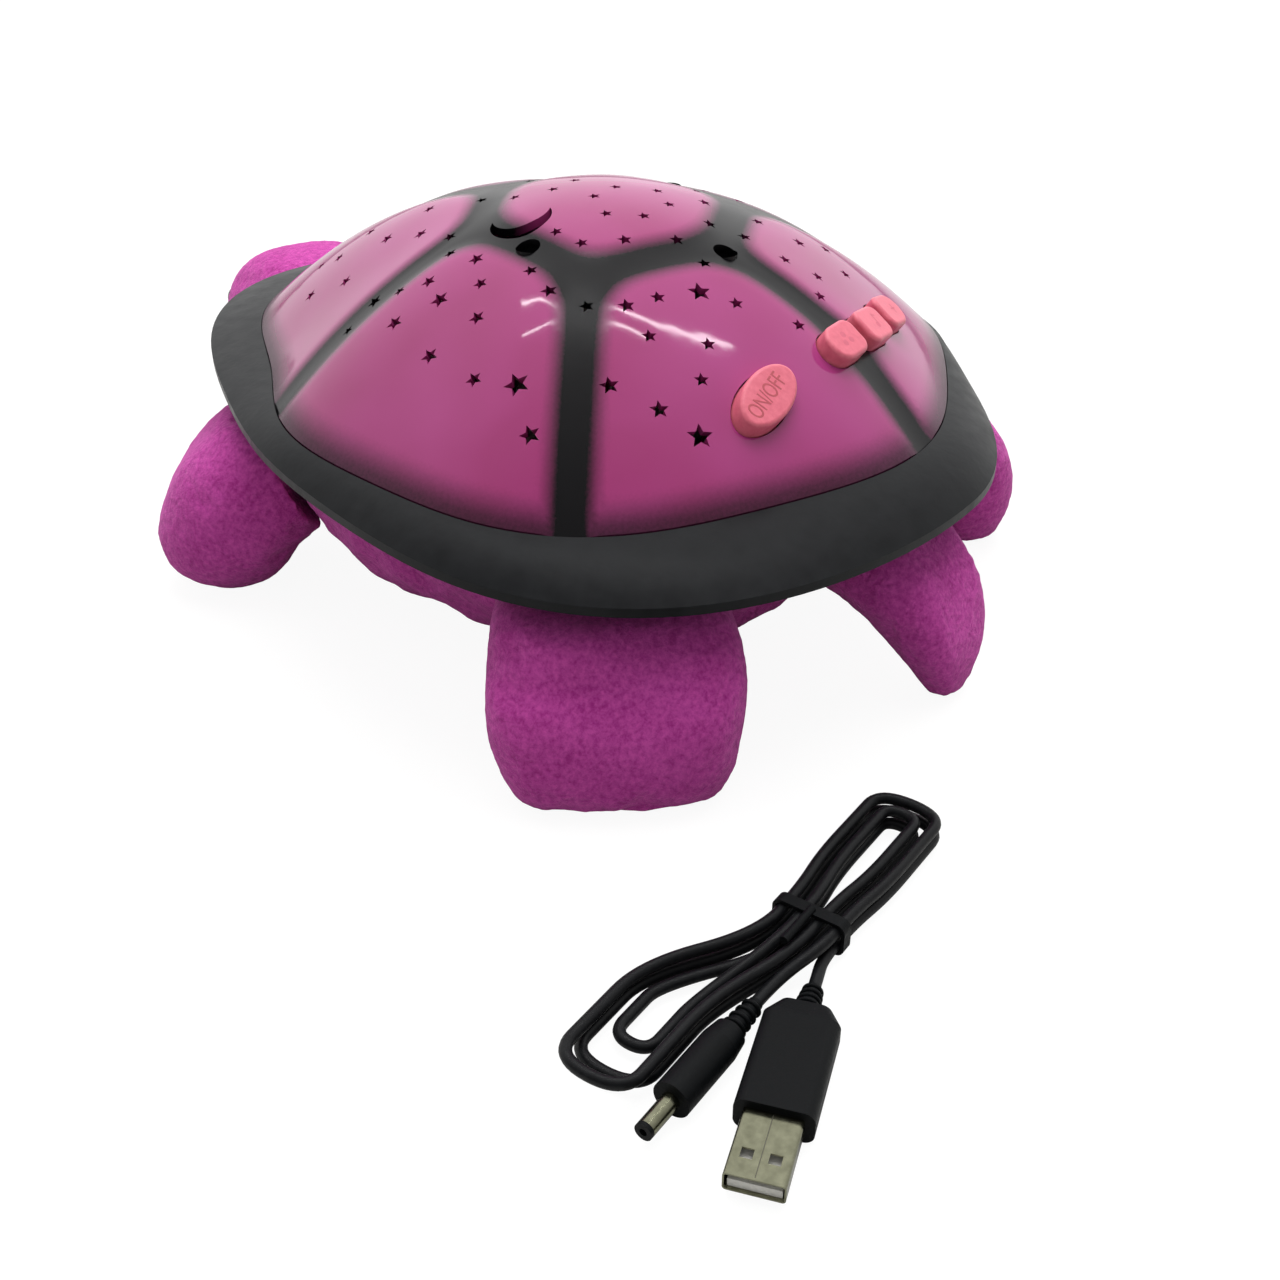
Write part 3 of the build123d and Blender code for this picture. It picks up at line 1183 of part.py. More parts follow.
def hank_path():
    """Centre line of the cord: out of the USB plug, four loops in two layers, into the power plug."""
    layer = len(HANK_WAIST_SHARES) / 2
    waist = [hank_point(0, share * HANK_STEP, CORD_LOW_Z if index < layer else CORD_HIGH_Z)
             for index, share in enumerate(HANK_WAIST_SHARES)]

    def near(index):
        share = HANK_WAIST_SHARES[index]
        grow = math.copysign((abs(share) + 1 / 2) * HANK_NEAR_STEP, share)
        return hank_point(HANK_NEAR_FAN, grow, waist[index].Z)

    def far(across, z):
        return hank_point(-HANK_FAR_FAN, across, z)

    inner = HANK_FAR_RADIUS - HANK_FAR_STEP
    far_places = {
        1: far(HANK_FAR_CENTRE - HANK_FAR_RADIUS, CORD_LOW_Z),
        2: far(HANK_FAR_CENTRE + HANK_FAR_RADIUS, CORD_LOW_Z),
        3: far(HANK_FAR_CENTRE - inner, CORD_LOW_Z),
        4: far(HANK_FAR_CENTRE + inner, CORD_LOW_Z),
        5: far(HANK_FAR_CENTRE + HANK_FAR_RADIUS, CORD_HIGH_Z),
        6: far(HANK_FAR_CENTRE - HANK_FAR_RADIUS, CORD_HIGH_Z),
    }
    bend, start, away = usb_start()
    edges = [Line(start, bend), TangentArc(waist[0], bend, tangent=NEARWARD * -1)]
    for pair in range(len(HANK_WAIST_SHARES) // 2):
        out, back = 2 * pair, 2 * pair + 1
        reach = NEARWARD * (HANK_NEAR_LENGTH - HANK_NEAR_FAN)
        edges += swerve(waist[out], near(out), NEARWARD)
        edges.append(Line(near(out), near(out) + reach))
        edges += half_turn(near(out) + reach, near(back) + reach, NEARWARD)
        edges.append(Line(near(back) + reach, near(back)))
        edges += swerve(near(back), waist[back], NEARWARD * -1)
        if back in far_places:
            reach = NEARWARD * (HANK_FAR_FAN - HANK_FAR_LENGTH * HANK_FAR_LENGTH_SHARES[pair])
            edges += swerve(waist[back], far_places[back], NEARWARD * -1)
            edges.append(Line(far_places[back], far_places[back] + reach))
            edges += half_turn(far_places[back] + reach, far_places[back + 1] + reach, NEARWARD * -1)
            edges.append(Line(far_places[back + 1] + reach, far_places[back + 1]))
            edges += swerve(far_places[back + 1], waist[back + 1], NEARWARD)
    end = hank_point(-DC_START, DC_ACROSS, DC_GRIP_RADIUS)
    last = end + NEARWARD * (2 * CORD_RADIUS)
    edges += swerve(waist[-1], last, NEARWARD * -1)
    edges.append(Line(last, end))
    return Wire(edges)


def report_gap(path):
    """Print the cord's length and its least gap to itself, measured on points."""
    points = [path.position_at(step / HANK_SAMPLES) for step in range(HANK_SAMPLES + 1)]
    apart = math.ceil(HANK_SAMPLES * math.pi * HANK_FAR_STEP / path.length)
    count = len(points)
    least = min((points[i] - points[j]).length for i in range(count) for j in range(i + apart, count))
    print("usb cord length", round(path.length), "least gap to itself", round(least - 2 * CORD_RADIUS, 2))


def usb_cord():
    """The lead, one unbroken tube."""
    path = hank_path()
    _, start, away = usb_start()
    tube = sweep(Plane(start, z_dir=away * -1) * Circle(CORD_RADIUS), path=path)
    print("usb cord volume over section times length",
          round(tube.volume / (math.pi * CORD_RADIUS**2 * path.length), 4))
    report_gap(path)
    return tube


def usb_axis():
    """Frame of the USB plug: origin on the floor under the cord's end, +X along the plug."""
    _, start, away = usb_start()
    return Plane((start.X, start.Y, 0), x_dir=away, z_dir=(0, 0, 1))


def plug_section(along, width, height, corner):
    """Rounded section of the USB plug, square to it."""
    return Pos(along, 0, USB_GRIP_HEIGHT / 2) * (Plane.YZ * RectangleRounded(width, height, corner))


def usb_plug_grip():
    """Moulded grip with a tapered strain relief."""
    thin = CORD_RADIUS + TIE_GAP
    low = Pos(0, 0, CORD_LOW_Z) * (Plane.YZ * Circle(thin))
    high = Pos(USB_RELIEF, 0, USB_GRIP_HEIGHT / 2) * (Plane.YZ * Circle(USB_RELIEF_RADIUS))
    shoulder = USB_RELIEF + USB_GRIP_HEIGHT / 2
    grip = loft([low, high])
    back = plug_section(USB_RELIEF, USB_GRIP_WIDTH - 2 * USB_GRIP_CORNER,
                        USB_GRIP_HEIGHT - USB_GRIP_CORNER / 2, USB_GRIP_CORNER)
    grip += loft([back, plug_section(shoulder, USB_GRIP_WIDTH, USB_GRIP_HEIGHT, USB_GRIP_CORNER)])
    body = extrude(plug_section(shoulder, USB_GRIP_WIDTH, USB_GRIP_HEIGHT, USB_GRIP_CORNER),
                   amount=USB_GRIP_LENGTH - USB_GRIP_HEIGHT / 2)
    return usb_axis() * (grip + body)


def usb_plug_shell():
    """Folded steel shell with four catch holes."""
    start = USB_RELIEF + USB_GRIP_LENGTH
    outer = plug_section(start, USB_SHELL_WIDTH, USB_SHELL_HEIGHT, USB_SHELL_CORNER)
    bore = plug_section(start - OVERRUN, USB_SHELL_WIDTH - 2 * USB_SHELL_WALL,
                        USB_SHELL_HEIGHT - 2 * USB_SHELL_WALL, USB_SHELL_CORNER - USB_SHELL_WALL)
    shell = extrude(outer, amount=USB_SHELL_LENGTH) - extrude(bore, amount=USB_SHELL_LENGTH + 2 * OVERRUN)
    for side in (-1, 1):
        across = side * USB_HOLE_SPREAD / 2
        place = Pos(start + USB_SHELL_LENGTH - USB_HOLE_SETBACK, across, USB_GRIP_HEIGHT / 2)
        shell -= place * Box(USB_HOLE, USB_HOLE, 2 * USB_GRIP_HEIGHT)
    return usb_axis() * shell


def usb_plug_insert():
    """Tongue inside the steel shell."""
    start = USB_RELIEF + USB_GRIP_LENGTH
    half = USB_SHELL_WIDTH / 2 - USB_SHELL_CORNER
    low = (USB_GRIP_HEIGHT - USB_SHELL_HEIGHT) / 2 + USB_SHELL_WALL
    return usb_axis() * block((start, -half, low),
                              (start + USB_SHELL_LENGTH - USB_SHELL_CORNER, half, low + USB_TONGUE_HEIGHT))


def dc_axis():
    """Frame of the power plug: origin where the cord ends, +Z along the plug."""
    return Plane(hank_point(-DC_START, DC_ACROSS, DC_GRIP_RADIUS), x_dir=(0, 1, 0), z_dir=(1, 0, 0))


def turned(points):
    """Solid turned about the power plug's axis."""
    return dc_axis() * revolve(Plane.XZ * make_face(Polyline(points, close=True)), axis=Axis.Z)


def dc_plug_grip():
    """Round grip with a tapered strain relief."""
    grip = DC_RELIEF + DC_GRIP_LENGTH
    return turned([(0, 0), (CORD_RADIUS + TIE_GAP, 0), (DC_RELIEF_RADIUS, DC_RELIEF),
                   (DC_NECK_RADIUS, DC_RELIEF), (DC_GRIP_RADIUS, DC_RELIEF + DC_GRIP_RADIUS),
                   (DC_GRIP_RADIUS, grip), (0, grip)])


def dc_plug_barrel():
    """Plated barrel."""
    start = DC_RELIEF + DC_GRIP_LENGTH
    end = start + DC_BARREL_LENGTH - DC_TIP_LENGTH
    return turned([(DC_BARREL_BORE, start), (DC_BARREL_RADIUS, start),
                   (DC_BARREL_RADIUS, end), (DC_BARREL_BORE, end)])


def dc_plug_tip():
    """Insulating ring at the end of the barrel."""
    start = DC_RELIEF + DC_GRIP_LENGTH + DC_BARREL_LENGTH - DC_TIP_LENGTH
    end = start + DC_TIP_LENGTH
    return turned([(DC_TIP_BORE, start), (DC_BARREL_RADIUS, start),
                   (DC_BARREL_RADIUS, end), (DC_TIP_BORE, end)])


def cord_tie():
    """Strip bent round the hank's waist, with its twisted tail lying along the strands."""
    width = 2 * (max(HANK_WAIST_SHARES) * HANK_STEP + CORD_RADIUS + TIE_GAP)
    low = HANK_LIFT - TIE_GAP
    high = CORD_HIGH_Z + CORD_RADIUS + TIE_GAP
    corner = CORD_RADIUS
    middle = hank_point(-TIE_WIDTH / 2, 0, (low + high) / 2)
    plane = Plane(middle, x_dir=(0, 1, 0), z_dir=NEARWARD)
    outer = RectangleRounded(width + 2 * TIE_WALL, high - low + 2 * TIE_WALL, corner + TIE_WALL)
    ring = extrude(plane * (outer - RectangleRounded(width, high - low, corner)), amount=TIE_WIDTH)
    tail = Plane(hank_point(0, 0, high + TIE_TAIL_RADIUS - TIE_GAP), z_dir=NEARWARD * -1)
    return ring + (tail * Cylinder(TIE_TAIL_RADIUS, TIE_TAIL, align=UPRIGHT))


def build():
    """Every piece by its name."""
    front_right = front_flipper(FRONT_RIGHT_TURN_ANGLE)
    rear_left = rear_flipper()
    beads = eyes()
    pieces = {
        "shell_dome": shell_dome(),
        "shell_brim": shell_brim(),
        "shell_screws": shell_screws(),
        "case_screws": case_screws(),
        "switch_board": switch_board(),
        "switch_board_screws": switch_board_screws(),
        "tact_switches": tact_switches(),
        "base_tray": base_tray(),
        "battery_door": battery_door(),
        "battery_door_screw": battery_door_screw(),
        "aa_cells": aa_cells(),
        "battery_contacts": battery_contacts(),
        "battery_springs": battery_springs(),
        "battery_leads": battery_leads(),
        "lamp_board": lamp_board(),
        "lamp_board_screws": [place * screw(SMALL_SCREW, SMALL_BITE)
                              for place in down_screws(lamp_posts(), LAMP_BOARD_Z)],
        "lamp_leads": lamp_leads(),
        "main_board": main_board(),
        "main_board_chips": main_board_chips(),
        "main_board_screws": [place * screw(SMALL_SCREW, SMALL_BITE)
                              for place in down_screws(main_posts(), MAIN_BOARD_Z)],
        "dc_jack": dc_jack(),
        "dc_jack_pin": dc_jack_pin(),
        "speaker_frame": speaker_frame(),
        "speaker_cone": speaker_cone(),
        "speaker_magnet": speaker_magnet(),
        "speaker_screws": speaker_screws(),
        "speaker_leads": speaker_leads(),
        "switch_leads": switch_leads(),
        "plush_body": plush_body(),
        "plush_head": head_form() - beads,
        "plush_tail": plush_tail(),
        "front_left_flipper": front_flipper(FRONT_LEFT_TURN_ANGLE),
        "front_right_flipper": mirror(front_right, about=Plane.YZ),
        "rear_left_flipper": rear_left,
        "rear_right_flipper": mirror(rear_left, about=Plane.YZ),
        "eyes": beads,
    }
    for index, colour in enumerate(("red", "green", "blue")):
        pieces[colour + "_lamp"] = lamp(index)
    for name in KEY_PLACES:
        pieces[name + "_button"] = key(name)
        pieces[name + "_plunger"] = plunger(name)
    return pieces


def build_lead():
    """The USB lead's pieces by name."""
    return {
        "usb_cord": usb_cord(),
        "usb_plug_grip": usb_plug_grip(),
        "usb_plug_shell": usb_plug_shell(),
        "usb_plug_insert": usb_plug_insert(),
        "dc_plug_grip": dc_plug_grip(),
        "dc_plug_barrel": dc_plug_barrel(),
        "dc_plug_tip": dc_plug_tip(),
        "cord_tie": cord_tie(),
    }


def main():
    """Write every piece, moved so that the turtle's middle stands over the origin."""
    os.makedirs("parts", exist_ok=True)
    pieces = {name: Compound(shape) if isinstance(shape, list) else shape
              for name, shape in build().items()}
    boxes = [shape.bounding_box() for shape in pieces.values()]
    middle = (min(box.min.Y for box in boxes) + max(box.max.Y for box in boxes)) / 2
    pieces.update(build_lead())
    for name, shape in pieces.items():
        export_step(Pos(0, -middle, 0) * shape, os.path.join("parts", name + ".step"))


main()
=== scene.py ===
import math

import bmesh
import bpy
from mathutils import Matrix, Vector, noise


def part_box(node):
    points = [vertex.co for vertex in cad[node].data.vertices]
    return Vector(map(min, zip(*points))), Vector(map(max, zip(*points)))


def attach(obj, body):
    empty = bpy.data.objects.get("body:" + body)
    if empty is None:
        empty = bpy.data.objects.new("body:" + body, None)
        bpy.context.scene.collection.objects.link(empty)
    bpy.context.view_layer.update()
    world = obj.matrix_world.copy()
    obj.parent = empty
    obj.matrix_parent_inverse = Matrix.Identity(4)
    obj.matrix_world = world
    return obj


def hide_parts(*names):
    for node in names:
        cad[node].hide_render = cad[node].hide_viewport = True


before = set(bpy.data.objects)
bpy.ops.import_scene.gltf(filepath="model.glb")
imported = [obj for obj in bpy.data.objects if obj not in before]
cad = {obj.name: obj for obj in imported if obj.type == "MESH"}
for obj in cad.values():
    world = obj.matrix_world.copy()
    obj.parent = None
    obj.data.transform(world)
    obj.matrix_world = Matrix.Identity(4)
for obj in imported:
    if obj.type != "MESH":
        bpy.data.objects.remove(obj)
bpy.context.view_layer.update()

# Works inside the tray: white ABS mouldings, green boards, plated screws and wiring.
# They are screwed down before the shell goes on, and show when the battery door is open
# or through the star holes, so the solids stay and only get their finishes.


def colour(code):
    """Linear colour of an sRGB hex value."""
    parts = [int(code[i:i + 2], 16) / 255 for i in (1, 3, 5)]
    return [p / 12.92 if p <= 0.04045 else ((p + 0.055) / 1.055) ** 2.4 for p in parts] + [1.0]


def add(tree, kind, settings, sockets):
    """Add one node with its settings, values and links."""
    made = tree.nodes.new(kind)
    for name, value in settings.items():
        setattr(made, name, value)
    for name, value in sockets.items():
        if isinstance(value, bpy.types.NodeSocket):
            tree.links.new(value, made.inputs[name])
        else:
            made.inputs[name].default_value = value
    return made


# Noise stays mostly between these two values, so the two colours of a finish are spread over them.
MOTTLE_LOW = 0.3
MOTTLE_HIGH = 0.7


def finish(name, light, dark, grain, rough, relief=0.0, **shader):
    """Material that drifts between two colours over a grain size, with a relief of that grain. Metres."""
    made = bpy.data.materials.new(name)
    made.use_nodes = True
    tree = made.node_tree
    tree.nodes.clear()
    place = add(tree, "ShaderNodeTexCoord", {}, {})
    mottle = add(tree, "ShaderNodeTexNoise", {}, {
        "Vector": place.outputs["Object"], "Scale": 1 / grain, "Detail": 4.0, "Roughness": 0.55})
    tint = add(tree, "ShaderNodeValToRGB", {}, {"Fac": mottle.outputs["Fac"]})
    tint.color_ramp.elements[0].position = MOTTLE_LOW
    tint.color_ramp.elements[0].color = colour(dark)
    tint.color_ramp.elements[1].position = MOTTLE_HIGH
    tint.color_ramp.elements[1].color = colour(light)
    polish = add(tree, "ShaderNodeMapRange", {}, {
        "Value": mottle.outputs["Fac"], "From Min": MOTTLE_LOW, "From Max": MOTTLE_HIGH,
        "To Min": rough * 0.85, "To Max": min(1.0, rough * 1.15)})
    sockets = {"Base Color": tint.outputs["Color"], "Roughness": polish.outputs["Result"]}
    if relief:
        bump = add(tree, "ShaderNodeBump", {}, {
            "Height": mottle.outputs["Fac"], "Strength": 1.0, "Distance": relief})
        sockets["Normal"] = bump.outputs["Normal"]
    sockets.update({key.replace("_", " "): value for key, value in shader.items()})
    skin = add(tree, "ShaderNodeBsdfPrincipled", {}, sockets)
    add(tree, "ShaderNodeOutputMaterial", {}, {"Surface": skin.outputs["BSDF"]})
    return made


def paint(material, *names):
    """Give CAD pieces a finish."""
    for name in names:
        slots = cad[name].data.materials
        slots.clear()
        slots.append(material)


# White ABS, spark-eroded in the mould: pale, fine dull grain.
paint(finish("moulded_white_abs", "#E6E3DA", "#D8D4C8", 0.0012, 0.45, 0.00006),
      "base_tray", "battery_door", "on_off_plunger", "colour_plunger", "music_plunger", "volume_plunger")
# Zinc-plated steel screws and the pressed speaker frame: grey, slightly cloudy.
paint(finish("zinc_plated_steel", "#B9BCC0", "#8F9297", 0.0008, 0.35, 0.00002, Metallic=1.0),
      "shell_screws", "case_screws", "switch_board_screws", "battery_door_screw", "lamp_board_screws",
      "main_board_screws", "speaker_screws", "speaker_frame")
# Nickel-plated spring steel of the battery contacts.
paint(finish("nickel_plated_contacts", "#CFC8B8", "#A9A294", 0.0006, 0.3, 0.00002, Metallic=1.0),
      "battery_contacts", "battery_springs", "dc_jack_pin")
# Printed sleeve of the cells: green film, smooth.
paint(finish("printed_cell_sleeve", "#2F7A4C", "#23633C", 0.004, 0.3), "aa_cells")
# Solder mask over glass fibre: green, with the weave just showing.
paint(finish("green_solder_mask", "#2E6E43", "#1F5532", 0.0005, 0.35, 0.00003),
      "switch_board", "lamp_board", "main_board")
# Black epoxy and nylon of chips, switches and socket.
paint(finish("black_epoxy", "#2B2B2D", "#1B1B1D", 0.0005, 0.55, 0.00003),
      "main_board_chips", "tact_switches", "dc_jack")
# Clear tinted epoxy of the three lamps.
paint(finish("red_lamp_epoxy", "#D8443C", "#B52D28", 0.003, 0.12), "red_lamp")
paint(finish("green_lamp_epoxy", "#4DB45C", "#2F9443", 0.003, 0.12), "green_lamp")
paint(finish("blue_lamp_epoxy", "#3F63D2", "#2A49B0", 0.003, 0.12), "blue_lamp")
# Pressed paper pulp of the speaker cone and the painted magnet behind it.
paint(finish("pressed_paper", "#3A3836", "#26241F", 0.0009, 0.9, 0.0001), "speaker_cone")
paint(finish("painted_ferrite", "#4A4B4E", "#38393B", 0.0009, 0.5, 0.00004), "speaker_magnet")
# PVC of the thin leads.
paint(finish("red_pvc_lead", "#B8332E", "#9A2723", 0.002, 0.4),
      "battery_leads", "speaker_leads", "switch_leads", "lamp_leads")

# Plush: short-pile polyester sewn over a light filling. The belly wraps the tray, and head,
# flippers and tail are stuffed separately and sewn on under the brim.
NAP_CLUMP = 0.0016
NAP_PATCH = 0.012
PATCH_SHARE = 0.22
PILE_HEIGHT = 0.0009

# Short-pile polyester: matt, with a pale sheen along the edges and a fine nap in clumps of about 1.5 mm.
plush = bpy.data.materials.new("short_pile_plush")
plush.use_nodes = True
tree = plush.node_tree
tree.nodes.clear()
place = add(tree, "ShaderNodeTexCoord", {}, {})
nap = add(tree, "ShaderNodeTexNoise", {}, {
    "Vector": place.outputs["Object"], "Scale": 1 / NAP_CLUMP, "Detail": 5.0, "Roughness": 0.7})
patch = add(tree, "ShaderNodeTexNoise", {}, {
    "Vector": place.outputs["Object"], "Scale": 1 / NAP_PATCH, "Detail": 3.0, "Roughness": 0.5})
mix = add(tree, "ShaderNodeMath", {"operation": "MULTIPLY_ADD"}, {
    0: patch.outputs["Fac"], 1: PATCH_SHARE, 2: 0.0})
both = add(tree, "ShaderNodeMath", {"operation": "MULTIPLY_ADD"}, {
    0: nap.outputs["Fac"], 1: 1 - PATCH_SHARE, 2: mix.outputs["Value"]})
tint = add(tree, "ShaderNodeValToRGB", {}, {"Fac": both.outputs["Value"]})
tint.color_ramp.elements[0].position = 0.36
tint.color_ramp.elements[0].color = colour("#9F2C80")
tint.color_ramp.elements[1].position = 0.62
tint.color_ramp.elements[1].color = colour("#CC50AA")
pile = add(tree, "ShaderNodeBump", {}, {
    "Height": nap.outputs["Fac"], "Strength": 0.8, "Distance": PILE_HEIGHT})
skin = add(tree, "ShaderNodeBsdfPrincipled", {}, {
    "Base Color": tint.outputs["Color"], "Roughness": 0.95, "Normal": pile.outputs["Normal"],
    "Sheen Weight": 0.5, "Sheen Roughness": 0.4, "Sheen Tint": colour("#E9A0D4"), "Specular IOR Level": 0.15})
add(tree, "ShaderNodeOutputMaterial", {}, {"Surface": skin.outputs["BSDF"]})


def settled(piece):
    """Mesh of a piece with its modifiers applied."""
    scene = bpy.context.evaluated_depsgraph_get()
    return bpy.data.meshes.new_from_object(piece.evaluated_get(scene))


SEAM_ALLOWANCE = 0.0016


def pattern(node, cell):
    """Sewn skin of a stuffed piece before it is filled: one even mesh a little inside the solid."""
    cut = bpy.data.objects.new(node + "_cut", cad[node].data.copy())
    bpy.context.scene.collection.objects.link(cut)
    skin = cut.modifiers.new("skin", "REMESH")
    skin.mode = "VOXEL"
    skin.voxel_size = cell
    soften = cut.modifiers.new("soften", "SMOOTH")
    soften.factor = 0.5
    soften.iterations = 6
    draw_in = cut.modifiers.new("draw_in", "DISPLACE")
    draw_in.strength = -SEAM_ALLOWANCE
    draw_in.mid_level = 0.0
    mesh = settled(cut)
    bpy.data.objects.remove(cut)
    sewn = bpy.data.objects.new(node + "_plush", mesh)
    bpy.context.scene.collection.objects.link(sewn)
    return sewn


# Middle of the shell along the turtle, which the lamp board is centred on.
shell_y = sum(corner[1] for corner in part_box("lamp_board")) / 2
SEAM_REACH = 0.092
SEAM_WIDTH = 0.012


def seam_grip(place):
    """How firmly the skin is held: fully at the sewn root under the brim, not at all on the free end."""
    reach = math.hypot(place.x, place.y - shell_y)
    return max(0.0, min(1.0, (SEAM_REACH - reach) / SEAM_WIDTH))


FILL_FRAMES = 20


def fill(sewn):
    """Set a sewn skin up to be stuffed: pressed out from inside, a little too large for its form."""
    held = sewn.vertex_groups.new(name="sewn")
    for vert in sewn.data.vertices:
        held.add([vert.index], seam_grip(vert.co), "REPLACE")
    cloth = sewn.modifiers.new("stuffing", "CLOTH")
    cloth.settings.quality = 6
    cloth.settings.mass = 0.2
    cloth.settings.tension_stiffness = 14
    cloth.settings.compression_stiffness = 10
    cloth.settings.bending_stiffness = 0.25
    cloth.settings.shrink_min = -0.06
    cloth.settings.use_pressure = True
    cloth.settings.uniform_pressure_force = 4.0
    cloth.settings.vertex_group_mass = "sewn"
    cloth.settings.effector_weights.gravity = 0.0
    cloth.collision_settings.use_collision = False
    cloth.point_cache.frame_start = 1
    cloth.point_cache.frame_end = FILL_FRAMES


def smooth_step(value, low, high):
    """Smooth rise from 0 at low to 1 at high."""
    share = max(0.0, min(1.0, (value - low) / (high - low)))
    return share * share * (3 - 2 * share)


REAR_TURN = math.radians(52)
REAR_HALF_WIDTH = 0.0315
HEM_ROUND = 0.0045
HEM_HEIGHT = 0.030
FOLD_HEIGHT = 0.043
FOLD_WIDTH = 0.004
FOLD_RISE = 0.0028
TUCK_ACROSS = (-0.2, 0.4)
TUCK_REACH = (0.085, 0.095)


def rear_form(node, place):
    """Shift that gives a rear flipper its round hem and the fold where it is tucked under the brim."""
    if not node.startswith("rear"):
        return Vector()
    hand = 1 if "left" in node else -1
    away = Vector((hand * math.sin(REAR_TURN), math.cos(REAR_TURN), 0))
    side = Vector((hand * math.cos(REAR_TURN), -math.sin(REAR_TURN), 0))
    out = place - Vector((0, shell_y, 0))
    across = out.dot(side) / REAR_HALF_WIDTH
    hem = HEM_ROUND * (0.4 - 1.6 * across**2) * max(0.0, 1 - place.z / HEM_HEIGHT)
    tuck = smooth_step(across, *TUCK_ACROSS) * smooth_step(out.dot(away), *TUCK_REACH)
    ridge = math.exp(-((place.z - FOLD_HEIGHT) / FOLD_WIDTH) ** 2)
    groove = math.exp(-((place.z - FOLD_HEIGHT + 2 * FOLD_WIDTH) / FOLD_WIDTH) ** 2)
    return away * hem + (away * 0.8 + Vector((0, 0, 0.6))) * (FOLD_RISE * tuck * (ridge - 0.8 * groove))


# Size of the mesh and fullness of each stuffed piece.
STUFFED = {
    "front_left_flipper": (0.0026, 0.7), "front_right_flipper": (0.0026, 0.7),
    "rear_left_flipper": (0.0026, 0.7), "rear_right_flipper": (0.0026, 0.7),
    "plush_tail": (0.0022, 0.6), "plush_head": (0.0028, 0.8), "plush_body": (0.0040, 0.6),
}
SWELL_LIMIT = 0.0034
# Unevenness of a skin, as a pitch in waves per metre and a height: puckers at the seam, lumps and nap.
PUCKER_PITCH = 130
PUCKER_RISE = 0.0016
LUMP_PITCH = 60
LUMP_RISE = 0.0006
NAP_PITCH = 480
NAP_RISE = 0.00016
SOLE_HEIGHT = 0.0003
skins = {node: pattern(node, cell) for node, (cell, _) in STUFFED.items()}
starts = {node: [vert.co.copy() for vert in sewn.data.vertices] for node, sewn in skins.items()}
for node, sewn in skins.items():
    if node != "plush_body":
        fill(sewn)
for step in range(1, FILL_FRAMES + 1):
    bpy.context.scene.frame_set(step)
for node, sewn in skins.items():
    mesh = settled(sewn)
    for modifier in list(sewn.modifiers):
        sewn.modifiers.remove(modifier)
    for vert, start in zip(mesh.vertices, starts[node]):
        move = vert.co - start
        if move.length > SWELL_LIMIT:
            vert.co = start + move * (SWELL_LIMIT / move.length)
    bm = bmesh.new()
    bm.from_mesh(mesh)
    bmesh.ops.smooth_vert(bm, verts=bm.verts, factor=0.3, use_axis_x=True, use_axis_y=True, use_axis_z=True)
    bmesh.ops.subdivide_edges(bm, edges=bm.edges, cuts=1, smooth=1.0, use_grid_fill=True)
    bm.normal_update()
    for vert in bm.verts:
        place = vert.co
        pucker = seam_grip(place) * noise.noise(place * PUCKER_PITCH) * PUCKER_RISE
        lump = noise.noise(place * LUMP_PITCH) * LUMP_RISE + noise.noise(place * NAP_PITCH) * NAP_RISE
        vert.co = place + vert.normal * (pucker + lump) + rear_form(node, place)
        vert.co.z = max(vert.co.z, SOLE_HEIGHT)
    bm.to_mesh(mesh)
    bm.free()
    sewn.data = mesh
    mesh.materials.clear()
    mesh.materials.append(plush)
    mesh.shade_smooth()
    sewn.vertex_groups.clear()
    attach(sewn, "turtle")
    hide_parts(node)
bpy.context.scene.frame_set(1)

# Eyes: two beads of black plastic, glossy from a polished mould.
# Each is pushed into the head and held by a washer.
paint(finish("black_bead_plastic", "#141416", "#0B0B0C", 0.003, 0.08), "eyes")

# Brim: black flexible PVC skirt that the dome sits in, held on the tray by the case screws.
# Its moulded skin is satin, with faint scuffs.
paint(finish("satin_black_pvc", "#17181A", "#101113", 0.006, 0.36, 0.00010, Specular_IOR_Level=0.14),
      "shell_brim")

# Dome: pink ABS, moulded in one piece, with star and moon holes and three screw wells.
# The lattice is sprayed on through a mask in black lacquer, so its edges are soft, and the
# cells between the bands stand a little proud of it.
SHELL_RADIUS = 0.098
CREASE = 0.065
RISE = 0.0495
WALL = 0.0022
FOOT_SHARES = (1.03, 1.00, 1.045, 0.95, 0.94, 0.985, 1.19)
CROWN_SHARE = 0.6


def series(shares):
    """Terms of the smooth outline through radii at even steps from tail to head."""
    last = len(shares) - 1
    halves = [1 if 0 < step < last else 0.5 for step in range(last + 1)]
    return [halves[order] * 2 / last * sum(
        half * share * math.cos(math.pi * order * step / last)
        for step, (half, share) in enumerate(zip(halves, shares))) for order in range(last + 1)]


FOOT_TERMS = series(FOOT_SHARES)


def foot_reach(angle):
    """Reach of the dome's foot at an angle from the tail."""
    return SHELL_RADIUS * sum(term * math.cos(order * angle) for order, term in enumerate(FOOT_TERMS))


def dome_height(x, y):
    """Height of the dome over a place on its plan, measured from the middle of the shell."""
    reach = math.hypot(x, y)
    spread = min(1, reach / (CROWN_SHARE * SHELL_RADIUS))
    radius = SHELL_RADIUS + (foot_reach(math.atan2(x, y)) - SHELL_RADIUS) * spread**2 * (3 - 2 * spread)
    return CREASE + RISE * (1 - (reach / radius) ** 2)


# The lattice on the plan: a hexagon's corners as angle from the tail and reach, and a band out from each.
CORNERS = ((0, 0.0400), (57.7, 0.0427), (124.5, 0.0340), (180, 0.0334), (235.5, 0.0340), (302.3, 0.0427))
TAIL_BAND = ((0.0, 0.0400), (-0.0065, 0.0750), (-0.0035, 0.1010))
BAND_OVERRUN = 0.004
BAND_FILLET = 0.0024


